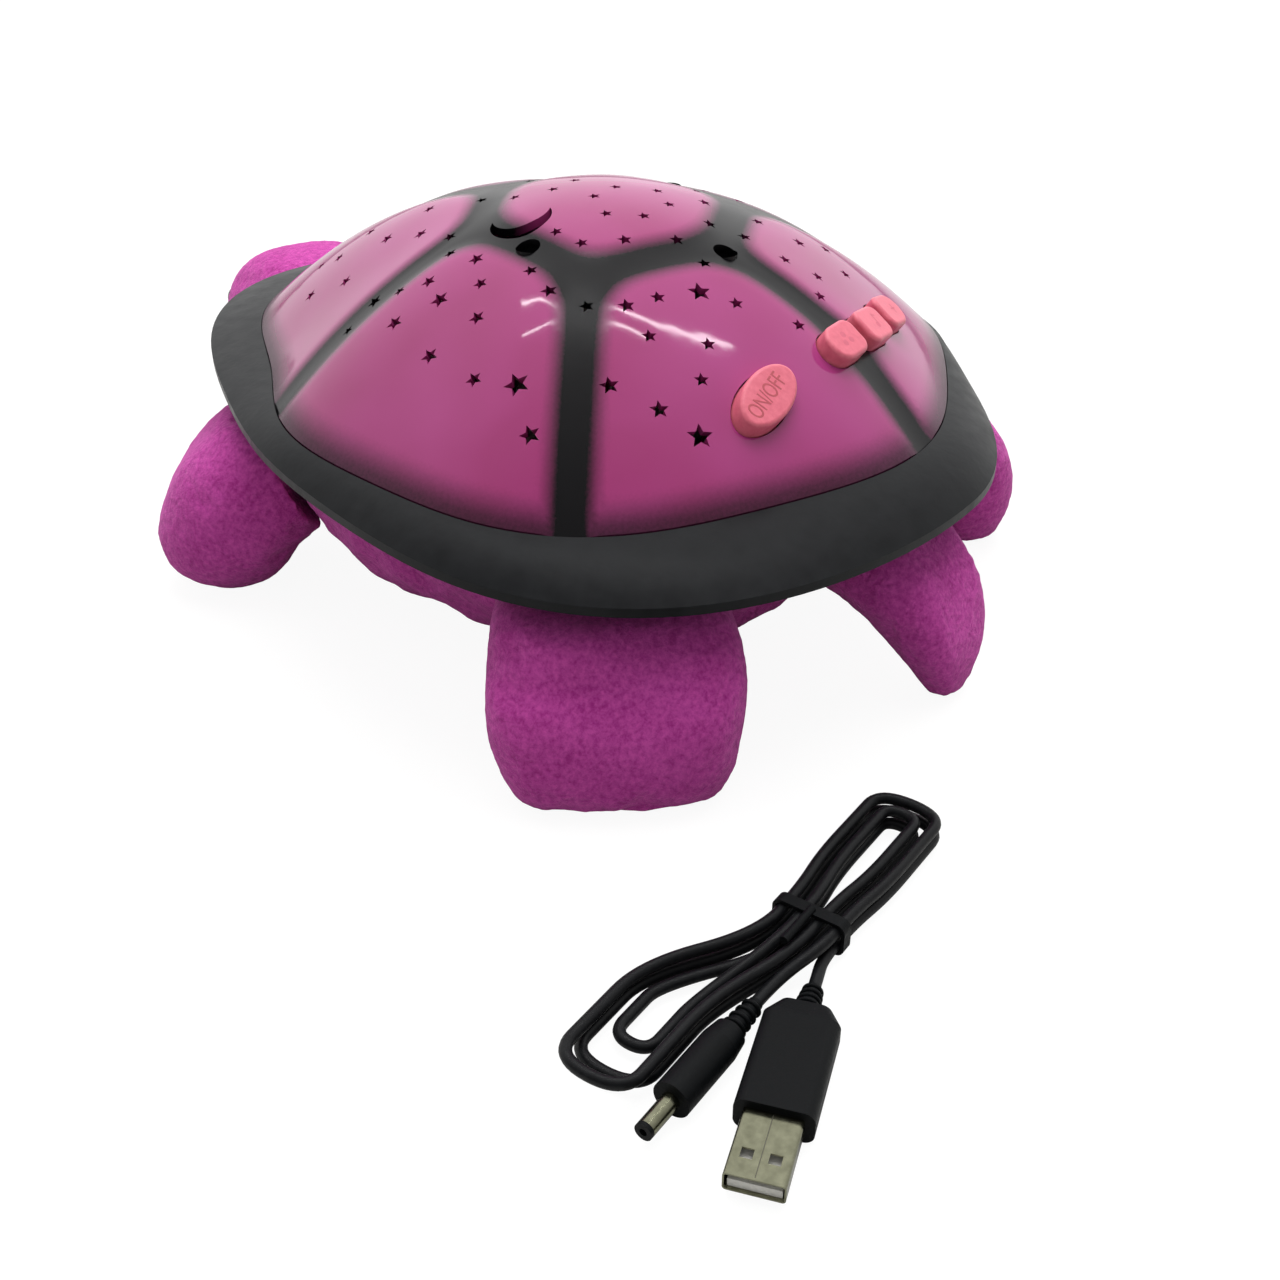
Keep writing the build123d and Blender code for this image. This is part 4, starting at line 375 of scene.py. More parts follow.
def lattice():
    """Straight stretches of the painted bands."""
    places = [Vector((r * math.sin(math.radians(a)), r * math.cos(math.radians(a)))) for a, r in CORNERS]
    bands = [(places[i], places[(i + 1) % 6]) for i in range(6)]
    for (a, r), place in zip(CORNERS[1:], places[1:]):
        turn = math.radians(a)
        bands.append((place, Vector((math.sin(turn), math.cos(turn))) * (foot_reach(turn) + BAND_OVERRUN)))
    tail = [Vector(place) for place in TAIL_BAND]
    return bands + list(zip(tail, tail[1:]))


BANDS = lattice()


def band_distance(x, y):
    """Distance on the plan from the middle of the nearest band, drawn round where bands meet."""
    place = Vector((x, y))
    nearness = 0.0
    for start, end in BANDS:
        along = end - start
        share = max(0.0, min(1.0, (place - start).dot(along) / along.length_squared))
        nearness += math.exp(-(place - start - along * share).length / BAND_FILLET)
    return max(0.0, -BAND_FILLET * math.log(max(nearness, 1e-30)))


# Where the lacquer is full and where it ends, from the middle of a band. Beside the foot the dome is drawn
# darker: the span of that darkening from the foot, and its strength at the foot.
BAND_MIST = (0.0018, 0.0092)
FOOT_FADE_SPAN = (0.0005, 0.0085)
FOOT_DARKNESS = 0.75


def lacquer_and_foot_fade(x, y):
    """How much black a place gets: lacquer full along the bands with thin mist beside them, and darker
    towards the foot.
    """
    band = 1 - smooth_step(band_distance(x, y), *BAND_MIST)
    inside = foot_reach(math.atan2(x, y)) - math.hypot(x, y)
    foot = FOOT_DARKNESS * (1 - smooth_step(inside, *FOOT_FADE_SPAN))
    return max(band, foot)


SLOPE_STEP = 0.002


def dome_basis(x, y):
    """Place on the dome and its three directions: across, down and out."""
    across = (dome_height(x + SLOPE_STEP, y) - dome_height(x - SLOPE_STEP, y)) / (2 * SLOPE_STEP)
    down = (dome_height(x, y + SLOPE_STEP) - dome_height(x, y - SLOPE_STEP)) / (2 * SLOPE_STEP)
    out = Vector((-across, -down, 1)).normalized()
    side = (Vector((1, 0, 0)) - out * out.x).normalized()
    return Vector((x, y, dome_height(x, y))), side, out.cross(side), out


# Stars on the left flank, which the right one mirrors, and at the tail. Each has its place across and
# along the plan, as shares of the shell's radius, and its size.
STARS_LEFT = (
    (0.37, -0.77, 1.0), (0.38, -0.61, 1.0), (0.24, -0.85, 0.8), (0.25, -0.76, 0.9), (0.25, -0.56, 1.0),
    (0.17, -0.70, 0.9), (0.27, -0.41, 1.0), (0.14, -0.49, 0.9), (0.11, -0.32, 0.8), (0.31, -0.27, 0.9),
    (0.52, -0.37, 1.1), (0.60, -0.40, 0.8), (0.51, -0.28, 0.9), (0.61, -0.21, 1.1), (0.49, -0.19, 1.0),
    (0.54, -0.11, 1.2), (0.39, -0.20, 0.9), (0.41, -0.09, 1.0), (0.41, 0.09, 0.9), (0.48, -0.02, 0.9),
    (0.45, 0.18, 1.0), (0.57, 0.04, 1.0), (0.68, -0.03, 1.1), (0.71, 0.14, 1.0), (0.69, 0.26, 1.5),
    (0.77, 0.36, 1.2), (0.26, 0.06, 0.8), (0.27, 0.15, 0.8), (0.19, 0.23, 0.9), (0.08, 0.32, 0.9),
    (0.06, 0.20, 0.8), (0.12, 0.12, 0.8), (0.05, 0.03, 0.8), (0.05, -0.11, 0.8), (0.12, -0.19, 0.8),
)
STARS_TAIL = (
    (0.38, 0.37, 1.0), (0.30, 0.41, 0.9), (0.20, 0.47, 1.4), (0.15, 0.55, 0.9), (0.41, 0.46, 0.9),
    (0.31, 0.57, 0.9), (0.40, 0.61, 0.9), (0.54, 0.58, 1.1), (0.51, 0.68, 1.5), (0.58, 0.46, 1.1),
    (0.05, 0.68, 0.9), (0.10, 0.42, 0.9), (0.44, 0.29, 0.9), (-0.13, 0.40, 0.9),
    (-0.28, 0.35, 0.9), (-0.34, 0.45, 1.0), (-0.46, 0.47, 0.9), (-0.16, 0.51, 0.9),
    (-0.22, 0.58, 0.9), (-0.40, 0.57, 0.9), (-0.13, 0.64, 0.9), (-0.55, 0.36, 0.9),
)
STAR_SIZE = 0.0046
STAR_DENT = 0.45
SCREW_WELLS = ((0.33, 0.02), (-0.33, 0.02), (0.0, 0.42))
WELL_RADIUS = 0.0032
WELL_DEPTH = 0.010
WELL_LAP = 0.0012
WELL_STEPS = 32
SEAT_SHARE = 0.5
MOON_PLACE = (0.235, -0.08)
MOON_RADIUS = 0.0085
MOON_BITE_RADIUS = 0.0080
MOON_BITE_SHIFT = 0.0042
MOON_TURN = math.radians(215)
# How far a punch stands out of the dome, and how deep it goes for each kind of hole.
PUNCH_RISE = 0.012
STAR_PUNCH = 0.006
WELL_PUNCH = 0.008
KEY_PUNCH = 0.017


def punch(bm, outline, basis, depth):
    """Add a prism to the punch: an outline on a basis, from below the wall to above it."""
    place, side, down, out = basis
    ring = [bm.verts.new(place + side * u + down * v - out * depth) for u, v in outline]
    floor = bm.faces.new(ring)
    raised = bmesh.ops.extrude_face_region(bm, geom=[floor])["geom"]
    tops = [part for part in raised if isinstance(part, bmesh.types.BMVert)]
    bmesh.ops.translate(bm, verts=tops, vec=out * (depth + PUNCH_RISE))


def star_outline(size):
    """Five points, the dents at just under half the tips' reach."""
    tip = STAR_SIZE * size / 2
    turns = [(tip if turn % 2 == 0 else tip * STAR_DENT, math.pi * turn / 5) for turn in range(10)]
    return [(r * math.sin(a), r * math.cos(a)) for r, a in turns]


def turned(points, turn):
    """Outline turned about its middle."""
    cos, sin = math.cos(turn), math.sin(turn)
    return [(u * cos - v * sin, u * sin + v * cos) for u, v in points]


def moon_outline():
    """Crescent: the outer arc and, back along it, the bite."""
    cut = (MOON_RADIUS**2 - MOON_BITE_RADIUS**2 + MOON_BITE_SHIFT**2) / (2 * MOON_BITE_SHIFT)
    outer = math.acos(cut / MOON_RADIUS)
    inner = math.acos((cut - MOON_BITE_SHIFT) / MOON_BITE_RADIUS)
    arc = [outer + (2 * math.pi - 2 * outer) * step / 20 for step in range(21)]
    bite = [2 * math.pi - inner - (2 * math.pi - 2 * inner) * step / 16 for step in range(1, 16)]
    points = [(MOON_RADIUS * math.cos(a), MOON_RADIUS * math.sin(a)) for a in arc]
    for a in bite:
        points.append((MOON_BITE_SHIFT + MOON_BITE_RADIUS * math.cos(a), MOON_BITE_RADIUS * math.sin(a)))
    return turned(points, MOON_TURN)


def circle_outline(radius, count):
    """Round hole."""
    turns = [2 * math.pi * step / count for step in range(count)]
    return [(radius * math.cos(a), radius * math.sin(a)) for a in turns]


# Keys on the shell: the row's plane, and each key's place on it, length and depth.
KEY_ROW = 0.77 * SHELL_RADIUS
KEY_TILT = math.radians(36)
KEYS = {
    "on_off": (0.0316, 0.0, 0.0200, 0.0125),
    "colour": (0.0, 0.0, 0.0135, 0.0105),
    "music": (-0.0173, 0.0, 0.0135, 0.0105),
    "volume": (-0.0346, -0.0016, 0.0135, 0.0105),
}
KEY_SIDE = Vector((1, 0, 0))
KEY_DOWN = Vector((0, math.cos(KEY_TILT), -math.sin(KEY_TILT)))
KEY_OUT = Vector((0, math.sin(KEY_TILT), math.cos(KEY_TILT)))
KEY_CLEARANCE = 0.0004
KEY_CORNER = 0.0032
KEY_PROUD = 0.0040
OVAL_TURN = math.radians(15)


def key_outline(name):
    """Outline of a key's hole: an oval, a square with round corners, or one with a round end."""
    length, depth = (size + 2 * KEY_CLEARANCE for size in KEYS[name][2:])
    if name == "on_off":
        return turned([(length / 2 * u, depth / 2 * v) for u, v in circle_outline(1, 48)], OVAL_TURN)
    corner = KEY_CORNER + KEY_CLEARANCE
    corners = {(1, 1): corner, (-1, 1): corner, (-1, -1): corner, (1, -1): corner}
    if name != "music":
        end = 1 if name == "colour" else -1
        corners[(end, 1)] = corners[(end, -1)] = depth / 2
    points = []
    for quarter, way in enumerate(((1, 1), (-1, 1), (-1, -1), (1, -1))):
        radius = corners[way]
        for step in range(9):
            a = math.pi / 2 * (quarter + step / 8)
            points.append((way[0] * (length / 2 - radius) + radius * math.cos(a),
                           way[1] * (depth / 2 - radius) + radius * math.sin(a)))
    return points


DOME_RINGS = 64
DOME_SPOKES = 288
FOOT_GAP = 0.0003
BAND_SINK = 0.0009
SINK_EDGE = (0.001, 0.0085)
LIP_DEPTH = 0.0014


def dome_skin():
    """Dome as a spun profile, drawn out to the foot's outline, with the bands sunk into it."""
    bm = bmesh.new()
    profile = [bm.verts.new((step / DOME_RINGS, 0, 0)) for step in range(DOME_RINGS + 1)]
    edges = [bm.edges.new(pair) for pair in zip(profile, profile[1:])]
    bmesh.ops.spin(bm, geom=profile + edges, cent=(0, 0, 0), axis=(0, 0, 1), angle=2 * math.pi,
                   steps=DOME_SPOKES, use_merge=True)
    bmesh.ops.remove_doubles(bm, verts=bm.verts, dist=1e-6)
    for vert in bm.verts:
        angle = math.atan2(vert.co.x, vert.co.y)
        reach = vert.co.xy.length * (foot_reach(angle) - FOOT_GAP)
        x, y = reach * math.sin(angle), reach * math.cos(angle)
        sunk = BAND_SINK * (1 - smooth_step(band_distance(x, y), *SINK_EDGE))
        vert.co = (x, y, dome_height(x, y) - sunk)
    rim = [edge for edge in bm.edges if edge.is_boundary]
    lip = bmesh.ops.extrude_edge_only(bm, edges=rim)["geom"]
    for part in lip:
        if isinstance(part, bmesh.types.BMVert):
            part.co.z = CREASE - LIP_DEPTH
    bmesh.ops.recalc_face_normals(bm, faces=bm.faces)
    mesh = bpy.data.meshes.new("dome_skin")
    bm.to_mesh(mesh)
    bm.free()
    return mesh


def dome_punch():
    """All that is cut out of the dome, as one set of prisms."""
    bm = bmesh.new()
    mirrored = tuple((-across, down, size) for across, down, size in STARS_LEFT)
    for across, down, size in STARS_LEFT + mirrored + STARS_TAIL:
        punch(bm, star_outline(size), dome_basis(across * SHELL_RADIUS, down * SHELL_RADIUS), STAR_PUNCH)
    moon_basis = dome_basis(*(share * SHELL_RADIUS for share in MOON_PLACE))
    punch(bm, moon_outline(), moon_basis, STAR_PUNCH)
    for across, down in SCREW_WELLS:
        x, y = across * SHELL_RADIUS, down * SHELL_RADIUS
        basis = (Vector((x, y, dome_height(x, y))), Vector((1, 0, 0)), Vector((0, 1, 0)), Vector((0, 0, 1)))
        punch(bm, circle_outline(WELL_RADIUS, WELL_STEPS), basis, WELL_PUNCH)
    row = Vector((0, KEY_ROW, dome_height(0, KEY_ROW)))
    for name, (across, down, _, _) in KEYS.items():
        place = row + KEY_SIDE * across + KEY_DOWN * down
        punch(bm, key_outline(name), (place, KEY_SIDE, KEY_DOWN, KEY_OUT), KEY_PUNCH)
    bmesh.ops.recalc_face_normals(bm, faces=bm.faces)
    mesh = bpy.data.meshes.new("dome_punch")
    bm.to_mesh(mesh)
    bm.free()
    return mesh


def screw_wells(bm):
    """Sleeves under the three screw holes, down to the face that the screw heads sit on."""
    for across, down in SCREW_WELLS:
        x, y = across * SHELL_RADIUS, down * SHELL_RADIUS
        top = dome_height(x, y) - WELL_LAP
        made = bmesh.ops.create_circle(bm, segments=WELL_STEPS, radius=WELL_RADIUS, cap_ends=False)["verts"]
        bmesh.ops.translate(bm, verts=made, vec=(x, y, top))
        ring = list({edge for vert in made for edge in vert.link_edges})
        wall = bmesh.ops.extrude_edge_only(bm, edges=ring)["geom"]
        low = [part for part in wall if isinstance(part, bmesh.types.BMVert)]
        bmesh.ops.translate(bm, verts=low, vec=(0, 0, WELL_LAP - WELL_DEPTH))
        lower = [part for part in wall if isinstance(part, bmesh.types.BMEdge) and part.is_boundary]
        seat = bmesh.ops.extrude_edge_only(bm, edges=lower)["geom"]
        for part in seat:
            if isinstance(part, bmesh.types.BMVert):
                part.co.x = x + (part.co.x - x) * SEAT_SHARE
                part.co.y = y + (part.co.y - y) * SEAT_SHARE


def show(name, mesh, body, *materials):
    """Put a mesh in the scene as a piece on a body."""
    for material in materials:
        mesh.materials.append(material)
    piece = bpy.data.objects.new(name, mesh)
    bpy.context.scene.collection.objects.link(piece)
    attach(piece, body)
    return piece


SHARP_ANGLE = math.radians(32)
blank = bpy.data.objects.new("dome_blank", dome_skin())
tool = bpy.data.objects.new("dome_tool", dome_punch())
for rough in (blank, tool):
    bpy.context.scene.collection.objects.link(rough)
wall = blank.modifiers.new("wall", "SOLIDIFY")
wall.thickness = WALL
wall.offset = -1
cut = blank.modifiers.new("holes", "BOOLEAN")
cut.operation = "DIFFERENCE"
cut.solver = "EXACT"
cut.object = tool
dome_mesh = settled(blank)
for rough in (blank, tool):
    bpy.data.objects.remove(rough)
bm = bmesh.new()
bm.from_mesh(dome_mesh)
screw_wells(bm)
coat = bm.verts.layers.float.new("lacquer_and_foot_fade")
for vert in bm.verts:
    vert[coat] = lacquer_and_foot_fade(vert.co.x, vert.co.y)
for face in bm.faces:
    face.smooth = True
    face.material_index = 0
bm.normal_update()
for edge in bm.edges:
    edge.smooth = edge.is_manifold and edge.calc_face_angle() < SHARP_ANGLE
bmesh.ops.translate(bm, verts=bm.verts, vec=(0, shell_y, 0))
bm.to_mesh(dome_mesh)
bm.free()
dome_mesh.materials.clear()

# Pink ABS under black lacquer: both glossy, the lacquer a little rougher, its edge a mist of fine drops.
# The drops are drawn about 0.9 mm wide, coarser than real ones, so that they show.
MIST_DROP = 0.0009
TINT_DRIFT = 0.045
SINK_MARK = 0.016
SINK_MARK_DEPTH = 0.00016
shell_paint = bpy.data.materials.new("lacquered_pink_abs")
shell_paint.use_nodes = True
tree = shell_paint.node_tree
tree.nodes.clear()
place = add(tree, "ShaderNodeTexCoord", {}, {})
cover = add(tree, "ShaderNodeAttribute", {"attribute_name": "lacquer_and_foot_fade"}, {})
mist = add(tree, "ShaderNodeTexNoise", {}, {
    "Vector": place.outputs["Object"], "Scale": 1 / MIST_DROP, "Detail": 3.0, "Roughness": 0.6})
spray = add(tree, "ShaderNodeMath", {"operation": "MULTIPLY_ADD"}, {
    0: mist.outputs["Fac"], 1: 0.16, 2: cover.outputs["Fac"]})
drift = add(tree, "ShaderNodeTexNoise", {}, {
    "Vector": place.outputs["Object"], "Scale": 1 / TINT_DRIFT, "Detail": 2.0, "Roughness": 0.5})
pink = add(tree, "ShaderNodeValToRGB", {}, {"Fac": drift.outputs["Fac"]})
pink.color_ramp.elements[0].position = 0.35
pink.color_ramp.elements[0].color = colour("#942F68")
pink.color_ramp.elements[1].position = 0.65
pink.color_ramp.elements[1].color = colour("#A03A78")
amount = add(tree, "ShaderNodeMapRange", {}, {
    "Value": spray.outputs["Value"], "From Min": 0.12, "From Max": 0.94})
both = add(tree, "ShaderNodeMix", {"data_type": "RGBA"}, {
    0: amount.outputs["Result"], 6: pink.outputs["Color"], 7: colour("#0E0D0F")})
polish = add(tree, "ShaderNodeMapRange", {}, {
    "Value": amount.outputs["Result"], "To Min": 0.06, "To Max": 0.26})
gloss = add(tree, "ShaderNodeMapRange", {}, {
    "Value": amount.outputs["Result"], "To Min": 0.5, "To Max": 0.2})
sink_marks = add(tree, "ShaderNodeTexNoise", {}, {
    "Vector": place.outputs["Object"], "Scale": 1 / SINK_MARK, "Detail": 2.0, "Roughness": 0.4})
wave = add(tree, "ShaderNodeBump", {}, {
    "Height": sink_marks.outputs["Fac"], "Strength": 1.0, "Distance": SINK_MARK_DEPTH})
skin = add(tree, "ShaderNodeBsdfPrincipled", {}, {
    "Base Color": both.outputs[2], "Roughness": polish.outputs["Result"], "IOR": 1.5,
    "Specular IOR Level": gloss.outputs["Result"], "Normal": wave.outputs["Normal"]})
add(tree, "ShaderNodeOutputMaterial", {}, {"Surface": skin.outputs["BSDF"]})

dome = show("dome_skin", dome_mesh, "turtle", shell_paint)
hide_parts("shell_dome")

# Keys: moulded coral ABS caps that stand out through the shell, each on the plunger of its switch.
# Small marks are pressed into their tops.
MARK_LIFT = 0.00002
MARK_THICKNESS = 0.00003
WORDS_LENGTH = 0.0142
WORDS_HEIGHT = 0.0044
coral = finish("moulded_coral_abs", "#DC6E80", "#D16074", 0.0016, 0.42, 0.00008)
paint(coral, "on_off_button", "colour_button", "music_button", "volume_button")


def key_top(name):
    """Middle of a key's top, and the directions across, down and out of it: it lies along the dome."""
    across, down_row = KEYS[name][:2]
    spot = Vector((0, KEY_ROW, dome_height(0, KEY_ROW))) + KEY_SIDE * across + KEY_DOWN * down_row
    for _ in range(24):
        spot += KEY_OUT * ((dome_height(spot.x, spot.y) - spot.z) * KEY_OUT.z)
    place, side, down, out = dome_basis(spot.x, spot.y)
    return place + out * KEY_PROUD + Vector((0, shell_y, 0)), side, down, out


def press_mark(key, mesh, turn, material):
    """Lay a flat mark on a key's top, reading from the left flank of the turtle."""
    middle, side, down, out = key_top(key)
    along = side * math.cos(turn) + down * math.sin(turn)
    away = down * math.cos(turn) - side * math.sin(turn)
    facing = Matrix((-along, -away, out)).transposed().to_4x4()
    mesh.transform(Matrix.Translation(middle + out * MARK_LIFT) @ facing)
    piece = show(key + "_mark", mesh, key + "_key", material)


# The marks are flat sheets in a deeper coral than the cap: painted shade of marks pressed into it.
pressed_shade_coral = finish("pressed_marks_painted_shade", "#B9525B", "#A8454F", 0.0012, 0.55)
faint_shade_coral = finish("shallow_marks_painted_shade", "#D0647A", "#C45A6E", 0.0012, 0.55)
words = bpy.data.curves.new("on_off_words", "FONT")
words.body = "ON/OFF"
words.size = WORDS_HEIGHT
words.align_x = "CENTER"
words.align_y = "CENTER"
words.extrude = MARK_THICKNESS
sample = bpy.data.objects.new("on_off_words_line", words)
bpy.context.scene.collection.objects.link(sample)
word_mesh = settled(sample)
bpy.data.objects.remove(sample)
rows = zip(*(vert.co.xy for vert in word_mesh.vertices))
width, height = (max(row) - min(row) for row in rows)
word_mesh.transform(Matrix.Diagonal((WORDS_LENGTH / width, WORDS_HEIGHT / height, 1, 1)))
press_mark("on_off", word_mesh, OVAL_TURN, pressed_shade_coral)


def stroke(bm, length, width, place, angle):
    """Straight bar of a mark."""
    made = bmesh.ops.create_grid(bm, x_segments=6, y_segments=2, size=0.5)["verts"]
    bmesh.ops.scale(bm, verts=made, vec=(length, width, 1))
    bmesh.ops.rotate(bm, verts=made, cent=(0, 0, 0), matrix=Matrix.Rotation(math.radians(angle), 3, "Z"))
    bmesh.ops.translate(bm, verts=made, vec=(*place, 0))


def blot(bm, radius, place):
    """Round dot of a mark."""
    made = bmesh.ops.create_circle(bm, cap_ends=True, segments=20, radius=radius)["verts"]
    bmesh.ops.translate(bm, verts=made, vec=(*place, 0))


# Three dots for colour, a note for music and a plus for volume. A stroke has its length, width, place and
# angle, a dot its radius and place.
for key, strokes, blots in (
        ("colour", (), ((0.0009, (-0.0014, -0.0008)), (0.0009, (0.0014, -0.0008)), (0.0009, (0.0, 0.0014)))),
        ("music", ((0.0034, 0.0005, (0.0007, 0.0007), 90), (0.0016, 0.0006, (0.0013, 0.0021), -25)),
         ((0.0009, (0.0, -0.0010)),)),
        ("volume", ((0.0032, 0.0006, (0.0, 0.0), 0), (0.0032, 0.0006, (0.0, 0.0), 90)), ())):
    bm = bmesh.new()
    for length, width, place, angle in strokes:
        stroke(bm, length, width, place, angle)
    for radius, place in blots:
        blot(bm, radius, place)
    mark = bpy.data.meshes.new(key + "_mark")
    bm.to_mesh(mark)
    bm.free()
    press_mark(key, mark, 0, faint_shade_coral)

# USB lead: black PVC cord folded into a hank with a tie, a moulded plug at one end and a round
# power plug at the other. It lies beside the turtle.
TIE = Vector((0.108, 0.135 + shell_y, 0))
LOW = 0.0025
HIGH = 0.0062
CORD_RADIUS = 0.0014


def hank(along, across, z):
    """Place on the hank: along it from the tie and across it in millimetres, and its height in metres."""
    return TIE + Vector((-along / 1000, across / 1000, z))


def near_fold(out, fan):
    """Control points of a fold at the short end, from one strand over to the one across from it."""
    way = math.copysign(1, out)
    z = LOW if fan[1] == "low" else HIGH
    wide = way * fan[0]
    return [hank(6.5, out, z), hank(19.5, wide, z), hank(36, wide, z), hank(39 + fan[0], wide, z),
            hank(39 + fan[0], -wide, z), hank(36, -wide, z), hank(19.5, -wide, z), hank(6.5, -out, z)]


def far_fold(out, back, start, end, length, low, high):
    """Control points of a fold at the long end, drawn over to one side."""
    tip = length + abs(end - start) / 2
    return [hank(-11, out, low), hank(-33, start, low), hank(-length + 4, start, low), hank(-tip, start, low),
            hank(-tip, end, low), hank(-length + 4, end, low), hank(-33, end, low), hank(-11, back, high)]


route = [hank(-14.9, 9.4, LOW), hank(-12.2, 8.53, LOW), hank(-6.3, 6.6, LOW)]
route += near_fold(6.6, (8.4, "low"))
route += far_fold(-6.6, 2.2, -21.8, -4.8, 50, LOW, LOW)
route += near_fold(2.2, (4.2, "low"))
route += far_fold(-2.2, -2.2, -17.7, -8.9, 45, LOW, HIGH)
route += near_fold(-2.2, (4.2, "high"))
route += far_fold(2.2, -6.6, -4.8, -21.8, 55, HIGH, HIGH)
route += near_fold(-6.6, (8.4, "high"))
route += [hank(-6, 6.6, HIGH), hank(-18.2, 2.5, 0.0042), hank(-27, 2.5, 0.0042)]
line = bpy.data.curves.new("usb_cord_line", "CURVE")
line.dimensions = "3D"
line.bevel_depth = CORD_RADIUS
line.bevel_resolution = 4
line.resolution_u = 10
strand = line.splines.new("NURBS")
strand.points.add(len(route) - 1)
for point, place in zip(strand.points, route):
    point.co = (*place, 1.0)
strand.order_u = 3
strand.use_endpoint_u = True
# Black PVC jacket: satin, with a fine drawn grain.
jacket = finish("black_pvc_jacket", "#121315", "#0C0C0E", 0.0011, 0.40, 0.00004, Specular_IOR_Level=0.2)
line.materials.append(jacket)
cord = bpy.data.objects.new("usb_cord_line", line)
bpy.context.scene.collection.objects.link(cord)
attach(cord, "turtle")
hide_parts("usb_cord")
# Thermoplastic rubber of the plugs' grips and the tie: black, dull, with a fine moulded grain.
rubber = finish("black_tpe_moulding", "#0B0D0F", "#08090A", 0.0007, 0.5, 0.00005, Specular_IOR_Level=0.12)
paint(rubber, "usb_plug_grip", "dc_plug_grip", "dc_plug_tip", "cord_tie")
# Bright nickel on the folded steel shell and the barrel.
nickel = finish("bright_nickel", "#8C8C76", "#777763", 0.002, 0.20, 0.00002, Metallic=1.0)
paint(nickel, "usb_plug_shell", "dc_plug_barrel")
paint(finish("white_contact_nylon", "#E2E0DA", "#D2D0C8", 0.0009, 0.5), "usb_plug_insert")

# Strain reliefs: ribs of the grips' own rubber, moulded round the tapered end of each grip,
# so that the cord bends gently there.
RIB_THICKNESS = 0.0005
RIB_SHARES = (0.18, 0.40, 0.62, 0.84)
RELIEF_THIN = 0.0017
USB_RELIEF_THICK = 0.0026
USB_RELIEF_LENGTH = 0.009
USB_RELIEF_RISE = 0.0015
DC_RELIEF_THICK = 0.0024
DC_RELIEF_LENGTH = 0.010
USB_TURN = math.radians(18)


def ribs(name, start, end, thick):
    """Four ribs along a tapered relief, each a small ring spun round it."""
    axis = end - start
    bm = bmesh.new()
    for share in RIB_SHARES:
        made = bmesh.ops.create_circle(bm, segments=10, radius=RIB_THICKNESS)["verts"]
        edges = list({edge for vert in made for edge in vert.link_edges})
        bmesh.ops.rotate(bm, verts=made, cent=(0, 0, 0), matrix=Matrix.Rotation(math.pi / 2, 3, "X"))
        bmesh.ops.translate(bm, verts=made, vec=(RELIEF_THIN + (thick - RELIEF_THIN) * share, 0, 0))
        bmesh.ops.spin(bm, geom=made + edges, cent=(0, 0, 0), axis=(0, 0, 1), angle=2 * math.pi, steps=32,
                       use_merge=True)
        ring = [vert for vert in bm.verts if not vert.tag]
        bmesh.ops.rotate(bm, verts=ring, cent=(0, 0, 0), matrix=axis.to_track_quat("Z", "Y").to_matrix())
        bmesh.ops.translate(bm, verts=ring, vec=start + axis * share)
        for vert in ring:
            vert.tag = True
    bmesh.ops.remove_doubles(bm, verts=bm.verts, dist=1e-6)
    bmesh.ops.recalc_face_normals(bm, faces=bm.faces)
    for face in bm.faces:
        face.smooth = True
    mesh = bpy.data.meshes.new(name)
    bm.to_mesh(mesh)
    bm.free()
    piece = show(name, mesh, "turtle", rubber)
    return piece


usb_way = Vector((math.cos(USB_TURN), math.sin(USB_TURN), 0))
usb_end = route[0] + usb_way * USB_RELIEF_LENGTH + Vector((0, 0, USB_RELIEF_RISE))
usb_ribs = ribs("usb_relief_ribs", route[0], usb_end, USB_RELIEF_THICK)
dc_end = route[-1] + Vector((DC_RELIEF_LENGTH, 0, 0))
dc_ribs = ribs("dc_relief_ribs", route[-1], dc_end, DC_RELIEF_THICK)

# Fold line of the USB shell: the shell is folded from nickel-plated steel sheet, whose two edges
# meet along the middle of its upper face.
STEEL_FOLD = (0.0150, 0.00016, 0.00004)
STEEL_FOLD_EDGE = 0.00001
STEEL_FOLD_LIFT = 0.00001
bm = bmesh.new()
bmesh.ops.create_cube(bm, size=1.0)
bmesh.ops.scale(bm, verts=bm.verts, vec=STEEL_FOLD)
bmesh.ops.bevel(bm, geom=bm.edges, offset=STEEL_FOLD_EDGE, segments=1, profile=0.5, affect="EDGES",
                material=-1)
bmesh.ops.rotate(bm, verts=bm.verts, cent=(0, 0, 0), matrix=Matrix.Rotation(USB_TURN, 3, "Z"))
shell_low, shell_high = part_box("usb_plug_shell")
bmesh.ops.translate(bm, verts=bm.verts, vec=(
    (shell_low[0] + shell_high[0]) / 2, (shell_low[1] + shell_high[1]) / 2, shell_high[2] + STEEL_FOLD_LIFT))
fold_mesh = bpy.data.meshes.new("usb_shell_fold")
bm.to_mesh(fold_mesh)
bm.free()
fold = show("usb_shell_fold", fold_mesh, "turtle",
            finish("shaded_steel_edge", "#6A685F", "#54524A", 0.0008, 0.4, Metallic=1.0))

# Studio: a white paper floor and a lit back wall, soft boxes above, in front and behind, two strip lamps
# that the dome mirrors as lines, and the camera where the photograph was taken.
FLOOR_SIZE = 4.0
FLOOR_DROP = 0.0004
floor_mesh = bpy.data.meshes.new("floor")
bm = bmesh.new()
bmesh.ops.create_grid(bm, x_segments=1, y_segments=1, size=FLOOR_SIZE)
bmesh.ops.translate(bm, verts=bm.verts, vec=(0, 0, -FLOOR_DROP))
bm.to_mesh(floor_mesh)
bm.free()
